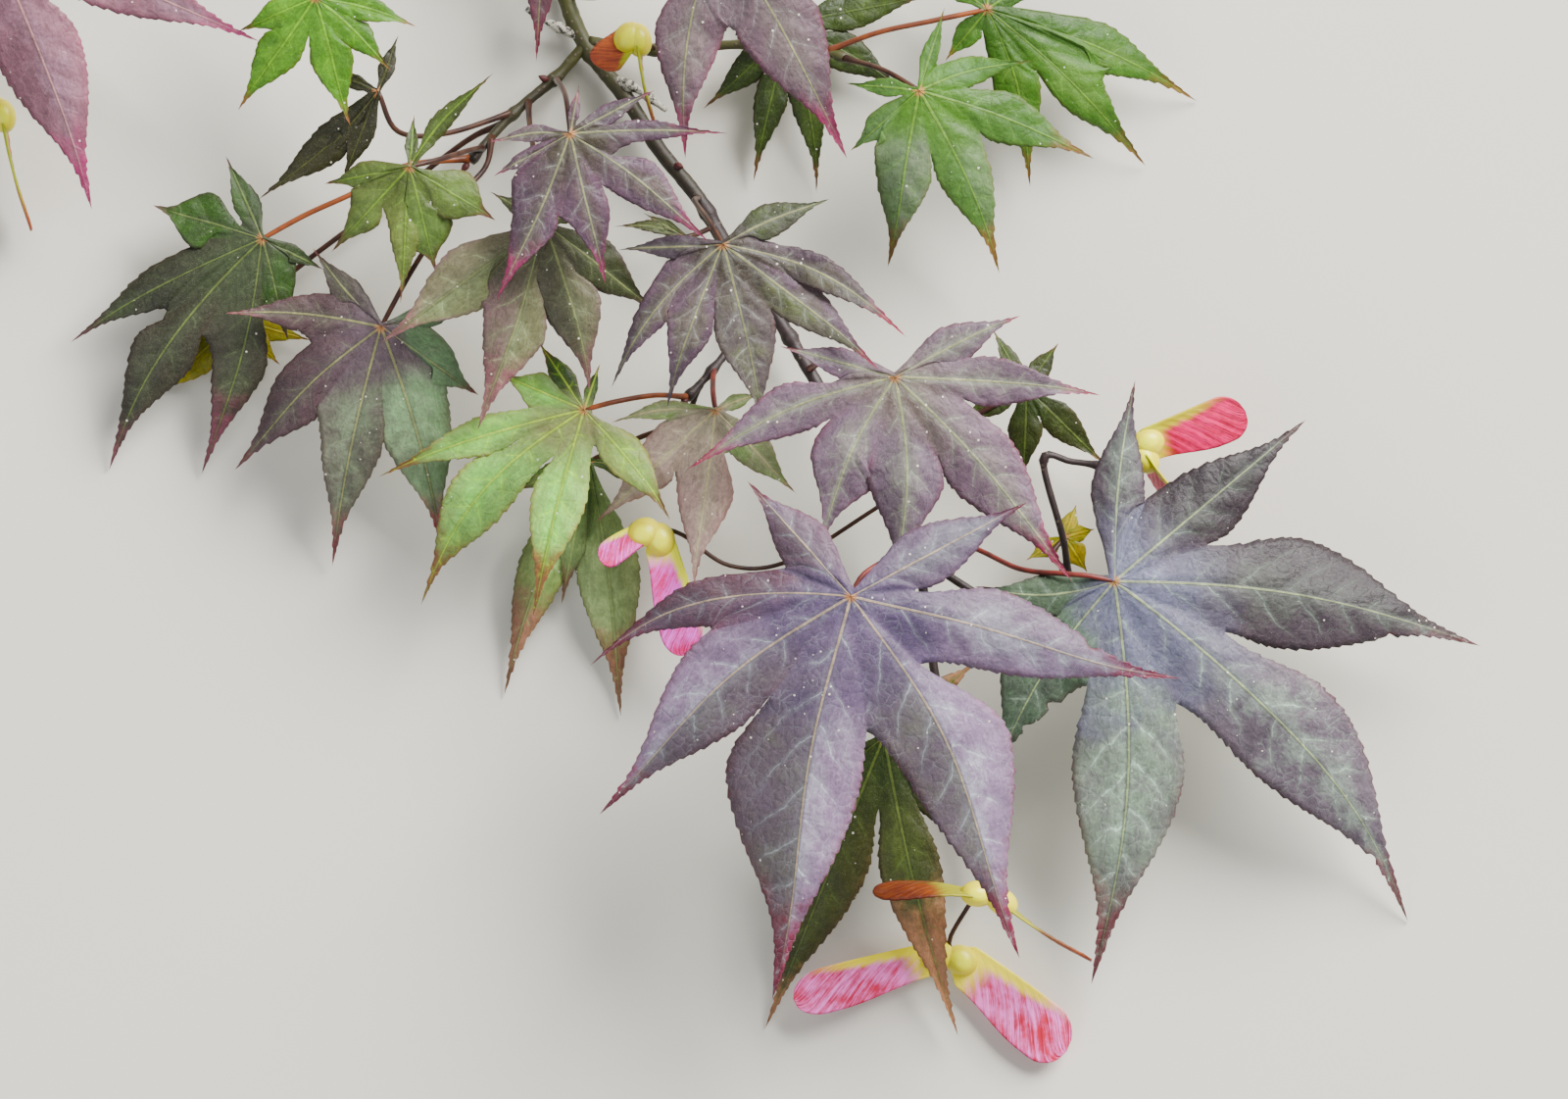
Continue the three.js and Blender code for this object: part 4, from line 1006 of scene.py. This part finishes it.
leaf(
    "shade_leaf", (54.3, -46.6, 17),
    [(59, -38, 15.5), (65.5, -28, 12.5), (69.2, -23.5, 9.5), (70, -19.2, 6)],
    [(12, 13.5, 16, 0.13), (131, 15, 15, 0.15, 0.03), (175, 22.5, 16, 0.13, -0.04),
     (224, 29.5, 7, 0.16, -0.04), (258, 35, 2, 0.135, -0.02), (285, 33, 5, 0.16, 0.03),
     (325, 17, 13, 0.25)],
    smoke, "purple_leaf", second=(0.8, 0.2, 0, 0, 0.3, 0.75, 0.9), tip_start=0.92, vein_strength=0.36,
    halves=((-0.2, -0.3), (-0.3, -0.2), (0.1, -0.2), (0.1, -0.3), (0.2, 0.7), (0.8, 0.9), (0.3, 0.3)),
    reach=(0, 0, 0.02, -0.03, 0.05, 0.06), ruddy=(0, 0.3, 0.35, 0.1, 0, 0.05),
    notches=(None, (49.3, -41.6), (44.2, -48.9), (44.8, -58.4), (54.5, -56.7), (63.7, -54.2), (59.8, -45.5)),
)
leaf(
    "far_leaf", (37.2, -33.9, 13),
    [(43.4, -30.5, 12.7), (50.4, -27.3, 12.2), (57.4, -23.5, 10.5), (66.9, -22.3, 7)],
    [(114, 13, 11, 0.15), (163, 16.5, 10, 0.25), (208, 31.5, 4, 0.11, -0.03),
     (236, 40, 0.6, 0.135, -0.07), (255, 35, 1, 0.125, 0.04), (284, 15, 9, 0.2),
     (333, 10, 11, 0.14)],
    bottle, "green_leaf", orange_stalk, second=(0.7, 1, 0.1, 0, 0, 0.8, 0.4), tip_start=0.93,
    vein_strength=0.4,
    halves=((0, -0.2), (0.1, -0.1), (-0.4, -0.2), (-0.1, -0.4), (0.3, 0.2), (0.2, 0), (0, -0.2)),
    reach=(0, 0, 0.02, 0.02, 0.18), ruddy=(0, 0, 0, 0.1, 0.1), fullest=(0.85, 1.2),
    notches=((34, -32.1), (29.5, -33.9), (22.8, -45.5), (28.4, -47.6), (37, -44.1), (42, -37.5)),
)
leaf(
    "dark_leaf", (53.9, -12.9, 19), [(56.7, -18.6, 16.5), (63.5, -18.8, 11.5), (73.2, -15.6, 4.9)],
    [(70, 8.5, 18, 0.14), (158, 8.5, 18, 0.13), (222, 23, 16.5, 0.12, 0.04), (230, 14.5, 17, 0.1),
     (248, 14, 17, 0.14)],
    moss, "green_leaf", tip_start=0.95, vein_strength=0.32,
)
leaf(
    "yellow_leaf", (33.3, -45.5, 4),
    [(42, -38, 3.6), (56, -27.5, 2.6), (66.5, -19.6, 3.2), (71.7, -17.3, 5.3)],
    [(149, 9.5, 3, 0.16), (222, 17, 1, 0.17), (314, 9, 3, 0.2), (345, 11, 3, 0.16)],
    gold, "lime_leaf", vein_strength=0.32,
)
leaf(
    "top_leaf", (102.6, 10.5, 34), [(97, 13, 31), (89, 9, 20), (86.5, 1.5, 8), (80.9, 1.2, 2.2)],
    [(47, 19, 32, 0.14), (107, 16, 32, 0.15), (158, 20, 31, 0.13), (208, 19.5, 30, 0.12),
     (262, 33.5, 26, 0.15, -0.06), (299, 38, 27, 0.16, 0.02), (351, 22.5, 31, 0.13)],
    bloom, "purple_leaf", red_stalk, vein_strength=0.4,
    reach=(0, 0, 0, 0, 0.02, 0.07), ruddy=(0, 0, 0, 0, 0.1, 0.1),
    notches=(None, None, None, None, (104.7, -4.5)),
)
leaf(
    "under_top_leaf", (112.4, -3.1, 7), [(110, -4.4, 7.6), (107.2, -6, 8.8)],
    [(12, 21, 6, 0.13), (72, 12, 7, 0.14), (138, 11, 6, 0.14), (225, 17, 4, 0.14, 0.03),
     (258, 23, 2, 0.11), (280, 24.5, 2, 0.1, 0.04), (330, 19.5, 5, 0.15, 0.04)],
    shade, "green_leaf", vein_strength=0.4,
)
leaf(
    "high_right_leaf", (131.3, -12.9, 23), [(126.4, -10, 20), (120.6, -8, 13.4)],
    [(15, 16.5, 23, 0.135, 0.05), (73, 12.5, 22, 0.1), (174, 10.5, 21, 0.13), (221, 13, 18, 0.22),
     (260, 25.5, 12, 0.165), (294, 28.5, 12, 0.14, 0.04), (339, 27, 17, 0.145, 0.03)],
    meadow, "green_leaf", tip_start=0.88, contrast=0.5, reach=(-0.1, 0, -0.1, -0.1, 0.02, 0.05, 0.05),
    second=(0, 0, 0, 0.2, (0.8, 0.5), (0.5, 0.1)),
    notches=((134.1, -9.2), None, None, (124.9, -21), (132.9, -21.8), (140, -18.9), (138.3, -12.6)),
)
leaf(
    "green_corner_leaf", (141.1, -1.1, 15), [(133, -2.8, 15), (125.5, -4.4, 14.6), (118.2, -7, 12.6)],
    [(35, 19, 12, 0.13), (87, 16.5, 12, 0.13), (143, 14.5, 12, 0.14), (231, 9.5, 13, 0.2),
     (284, 26, 5, 0.13, 0.06), (316, 32, 1, 0.13, 0.03), (337, 33, 0.6, 0.12, 0.04)],
    fern, "green_leaf", orange_stalk, tip_start=0.88, contrast=0.5,
    notches=(None, None, None, None, (148.1, -9.8), (159.3, -9.2)),
)
leaf(
    "corner_leaf", (45.1, 0.3, 26), [(45, 5.5, 22), (45.6, 10.5, 13), (46.2, 14, 6)],
    [(37, 13.5, 24, 0.14, 0.04), (92, 13, 24, 0.15), (146, 13.5, 22, 0.15), (203, 12, 22, 0.2),
     (235, 19.5, 20, 0.17), (285, 19, 22, 0.17), (316, 15, 24, 0.17, 0.03), (344, 15, 24, 0.14, 0.04)],
    fresh, "lime_leaf", vein_strength=0.4,
)
leaf(
    "big_corner_leaf", (-1.1, 8.7, 28), [(2, 13, 24), (5.8, 15.5, 16), (6.9, 16.8, 8)],
    [(39, 28.5, 20, 0.13), (86, 25, 12, 0.13), (136, 22, 8, 0.13), (191, 24, 5, 0.12),
     (242, 30.5, 8, 0.13), (290, 41, 18, 0.15, 0.02), (339, 41, 27, 0.11, 0.02)],
    blush, "purple_leaf", red_stalk, vein_strength=0.3, reach=(0, 0, 0, 0, 0, 0.1, 0.05),
)
leaf(
    "stem_leaf", (80.5, 14.7, 14), [(79.8, 17.2, 11), (77.4, 17.4, 1.8)],
    [(25, 14.5, 12, 0.14), (82, 15.5, 11, 0.14), (135, 17, 9, 0.14), (186, 19, 9, 0.14),
     (260, 23.5, 9, 0.11, -0.05), (304, 12, 11, 0.14)],
    rosy, "purple_leaf", red_stalk, tip_start=0.8, vein_strength=0.4,
)
leaf(
    "young_leaf", (98, -33.6, 10), [(99.5, -33.2, 8), (102, -32, 4.5)],
    [(151, 7, 10, 0.13), (172, 10.5, 10, 0.09, -0.08), (261, 8.5, 9, 0.13)],
    olive, "green_leaf", tip_start=0.8, vein_strength=0.32,
)
leaf(
    "right_back_leaf", (146.7, -55.3, 13), [(138, -60, 12), (130, -64.5, 10), (122.6, -65, 7.9)],
    [(54, 8, 12, 0.2), (120, 10, 11, 0.13), (206, 11.5, 11, 0.15), (269, 13.5, 8.5, 0.19),
     (316, 16, 8.5, 0.15)],
    deep, "green_leaf", tip_start=0.92, vein_strength=0.32,
)
leaf(
    "low_back_leaf", (126.3, -105.3, 14), [(129.5, -102, 12.8), (134.2, -99, 7.9)],
    [(39, 17.5, 12, 0.15), (141, 16, 11, 0.16), (219, 22, 7, 0.14), (248, 45.5, 0.5, 0.115),
     (284, 44.5, 4.5, 0.1, -0.02), (310, 23.5, 10.5, 0.13)],
    deep, "green_leaf", second=(0, 0, 0, (0.2, 0.4)), tip_start=0.78, vein_strength=0.48,
    reach=(0, 0, 0, -0.12, 0.16), ruddy=(0, 0, 0, 0.15, 0.1),
    halves=((0, 0), (0, 0), (0, 0), (0.5, 0.3), (0.1, 0.5)),
)
leaf(
    "curled_leaf", (152.3, -76.7, 8), [(150.5, -79.2, 9), (152.1, -81.2, 11.9)],
    [(15, 4.5, 9, 0.3), (70, 5, 7, 0.25), (211, 6.5, 8, 0.22), (303, 6, 6, 0.3)],
    gold, "lime_leaf", tip_start=0.95, vein_strength=0.32,
)

# The keys: pairs of small hard nutlets, yellow-green, each with one papery wing, crimson and pink
# with fine ribs that fan back from a stiff yellow-green spine. A thread of a stalk carries each pair.
WING_THICKNESS = 0.3
WING_SPINE = 0.33               # how far off the middle line the spine runs, as a share of the width
WING_ROOT = 0.3                 # width of a wing at its root and past its nutlet, as shares
WING_NECK = 0.74
WING_END = 0.2                  # length of the rounded end, as a share of the wing
WING_CAMBER = 0.7
WING_BEND = 0.1                 # how far a wing bends aside at its end, as a share of its width
WING_HANG = 0.5                 # how far the thin edge hangs below the spine, in mm
SPINE_HEIGHT, SPINE_WIDTH = 0.2, 0.09   # in mm, and as a share of the width
RIB_HEIGHT, RIB_CROWDING = 0.04, 61     # in mm, and in radians over the length of a wing
WING_ROWS, WING_COLUMNS = 66, 26
FAN_SWEEP, FAN_BEND = 0.42, 0.7 # how far the ribs run out, as a share of the wing, and how they bend
ROOT_FADE = 0.16                # how long the colour of a wing's root takes to fade, as such a share
NUTLET = (2.5, 2.2, 1.9)
NUTLET_OFFSET = 1.9
KEY_STALK_RADIUS = 0.34


def wing_material(name, deep, pale, rib, spine_colour, root_colour, root_end=0.46):
    """Papery wing: streaks of a deep and a pale red that fan out from the stiff spine. The colour of
    its root runs out to root_end, as a share of the wing."""
    material, tree, shader = new_material(name, 0.42, gloss=0.35)
    times, plus, less = sums(tree)
    column, share = uv_pair(tree, "share")
    swept = times(reckon(tree, "POWER", column, FAN_BEND), FAN_SWEEP)
    fan_place = join(tree, times(less(share, swept), 26), times(column, 1.1))
    streaks = noise(tree, fan_place, 1.0, 5, 0.7)
    blush = noise(tree, millimetres(tree), 0.3, 3, 0.6)
    mixed = less(plus(times(streaks, 0.8), times(blush, 0.5)), times(share, 0.06))
    colour = blend_colour(tree, ramp(tree, mixed, 0.48, 0.74), tint(*deep), tint(*pale))
    ribs = ramp(tree, noise(tree, fan_place, 2.6, 2), 0.54, 0.62)
    ribs = times(ribs, ramp(tree, share, 0.3, 0.7))
    colour = blend_colour(tree, times(ribs, 0.5), colour, tint(*rib))
    rim = times(ramp(tree, column, 0.93, 1.0), 0.5)
    colour = blend_colour(tree, rim, colour, tint(*rib))
    spine = reckon(tree, "DIVIDE", column, less(0.56, times(share, 0.46)))
    spine = ramp(tree, plus(spine, times(streaks, 0.7)), 1.2, 0.7)
    spine = times(spine, ramp(tree, share, 0.95, 0.55))
    colour = blend_colour(tree, spine, colour, tint(*spine_colour))
    root = plus(plus(share, times(streaks, 0.2)), times(column, 0.06))
    root = ramp(tree, root, root_end, root_end - ROOT_FADE)
    colour = blend_colour(tree, root, colour, tint(*root_colour))
    surface(tree, shader, colour, plus(streaks, ribs), 0.6, 0.14)
    return material


def nutlet_material():
    """Smooth hard skin of a nutlet, yellow-green with a painted cream highlight where it faces up, and faint
    ribs.
    """
    material, tree, shader = new_material("key_nutlet", 0.32)
    times, plus, _ = sums(tree)
    place = millimetres(tree)
    faces_up = split(tree, add_node(tree, "ShaderNodeNewGeometry").outputs["Normal"])["Z"]
    # Painted highlight: the parts that face up turn cream.
    painted_highlight = ramp(tree, plus(faces_up, times(noise(tree, place, 0.5, 2), 0.2)), 0.86, 1.08)
    colour = blend_colour(tree, painted_highlight, tint(222, 218, 82), tint(248, 236, 142))
    surface(tree, shader, colour, noise(tree, place, 1.4, 3), 0.4, 0.15)
    return material


key_wing = wing_material(
    "key_wing", (224, 96, 122), (250, 184, 210), (208, 76, 102), (226, 220, 126), (226, 222, 104),
)
red_wing = wing_material(
    "red_wing", (216, 84, 116), (242, 150, 180), (200, 64, 100), (214, 208, 108), (218, 218, 104),
)
rosy_wing = wing_material(
    "rosy_wing", (228, 108, 158), (246, 178, 216), (204, 84, 132), (246, 228, 168), (246, 224, 160),
)
warm_wing = wing_material(
    "warm_wing", (190, 112, 94), (214, 150, 116), (172, 94, 82), (200, 204, 84), (196, 202, 74),
)
dry_wing = wing_material(
    "dry_wing", (164, 80, 58), (194, 124, 82), (136, 64, 54), (164, 112, 62), (192, 190, 88),
    root_end=0.66,
)
key_nutlet = nutlet_material()
fruit_stalk = stalk_material("fruit_stalk", (112, 82, 68), (88, 62, 56))


def add_wing(bm, length, spine_side, full, twist):
    """One wing, laid out from its nutlet: a thin sheet, narrow at its root and rounded at its end,
    with a ridge for its spine and low ribs that fan out from it."""
    made = set(bm.verts)
    layer = bm.loops.layers.uv["share"]
    grid = bmesh.ops.create_grid(bm, x_segments=WING_ROWS, y_segments=WING_COLUMNS, size=1)["verts"]
    faces = list({face for vert in grid for face in vert.link_faces})
    shares = {vert: ((vert.co.x + 1) / 2, (vert.co.y + 1) / 2) for vert in grid}
    for face in faces:
        for loop in face.loops:
            share, across = shares[loop.vert]
            loop[layer].uv = (across, share)
    for vert, (share, across) in shares.items():
        width = WING_ROOT + (WING_NECK - WING_ROOT) * smoothstep(share / 0.16)
        width = full * (width + (1 - WING_NECK) * smoothstep((share - 0.12) / 0.6))
        past_full = max((share - 1 + WING_END) / WING_END, 0)
        rounded = math.sqrt(max(1 - past_full ** 2, 0))
        middle = min(full * WING_SPINE, width / 2) - width / 2 - WING_BEND * full * share ** 3
        fan = share - FAN_SWEEP * across ** FAN_BEND
        relief = RIB_HEIGHT * math.sin(fan * RIB_CROWDING)
        relief = relief * smoothstep(across / 0.15) * smoothstep(share / 0.35)
        ridge = SPINE_HEIGHT * math.exp(-(across / SPINE_WIDTH) ** 2) * rounded
        height = WING_CAMBER * math.sin(math.pi * share) + relief + ridge
        height -= WING_HANG * across * across * rounded
        y = spine_side * (middle + width / 2 * rounded * (1 - 2 * across))
        vert.co = Vector((length * share, y, height))
        vert.co.rotate(Euler((math.radians(twist) * smoothstep(share / 0.8), 0, 0)))
    bmesh.ops.remove_doubles(bm, verts=grid, dist=0.02)
    thicken(bm, [face for face in faces if face.is_valid], WING_THICKNESS)
    return [vert for vert in bm.verts if vert not in made]


def key(name, centre, stalk, wings, wing_skin=key_wing):
    """A pair of nutlets with their wings, each given by bearing, length, rise, roll, the side that
    its spine is on, its width, and how far it twists on its way out."""
    bm = bmesh.new()
    bm.loops.layers.uv.new("share")
    for bearing, length, rise, roll, spine_side, full, twist in wings:
        turn = Euler((math.radians(roll), -math.radians(rise), 0)).to_matrix()
        turn = (Euler((0, 0, math.radians(bearing))).to_matrix() @ turn).to_4x4()
        place = Matrix.Translation(centre) @ turn
        wing = add_wing(bm, length, spine_side, full, twist)
        bmesh.ops.transform(bm, verts=wing, matrix=place)
        ball = bmesh.ops.create_uvsphere(bm, u_segments=24, v_segments=16, radius=1)["verts"]
        shape = Matrix.Translation((NUTLET_OFFSET, 0, 0)) @ Matrix.Diagonal((*NUTLET, 1))
        bmesh.ops.transform(bm, verts=ball, matrix=place @ shape)
        paint(ball, 1)
    paint(add_tube(bm, [centre, *stalk], lambda share: KEY_STALK_RADIUS, sides=8, step=1.0), 2)
    finish_piece(bm, name + "_wings", [wing_skin, key_nutlet, fruit_stalk], [name])


key("low_key", (135.9, -136.5, 2.9), [(136, -134, 3.4), (139, -128.9, 5.1)],
    [(192, 23.6, 7, 0, -1, 6.6, 0), (326, 21.8, 0, 0, 1, 8.6, 0)])
key("mid_key", (141.6, -127.9, 15.5), [(141.5, -127, 12), (140.2, -124, 5.8)],
    [(176, 17, 3, 88, -1, 5, -20), (327, 17.5, -4, 88, 1, 4, -12)], dry_wing)
key("right_key", (162.4, -64, 14.8), [(160, -65.6, 14.8), (157.6, -66.6, 14.8)],
    [(25, 16.5, 2, 20, 1, 7.4, 0), (312, 14, -8, 70, 1, 7.4, 0)], red_wing)
key("left_key", (93.6, -75.2, 13),
    [(97.5, -76.4, 12.6), (104.3, -80.8, 11.4), (113, -80, 10), (126.4, -71.8, 8.3)],
    [(205, 9.5, 10, 35, -1, 4.2, 0), (289, 19, -4, 0, 1, 6.2, 0)], rosy_wing)
key("top_key", (90.8, -3.6, 13.5), [(91.4, -4.6, 11), (93.6, -6.7, 4.6)],
    [(238, 7.8, 8, 10, 1, 5.2, 0), (281, 15, 0, 88, 1, 6, -6)], warm_wing)
key("corner_key", (-0.6, -14.4, 9), [(-5, -6, 9), (-2, 9, 9), (11, 17, 7.9)],
    [(200, 16, -12, 30, 1, 7.4, 0), (284, 19, -4, 88, 1, 6, -8)], warm_wing)
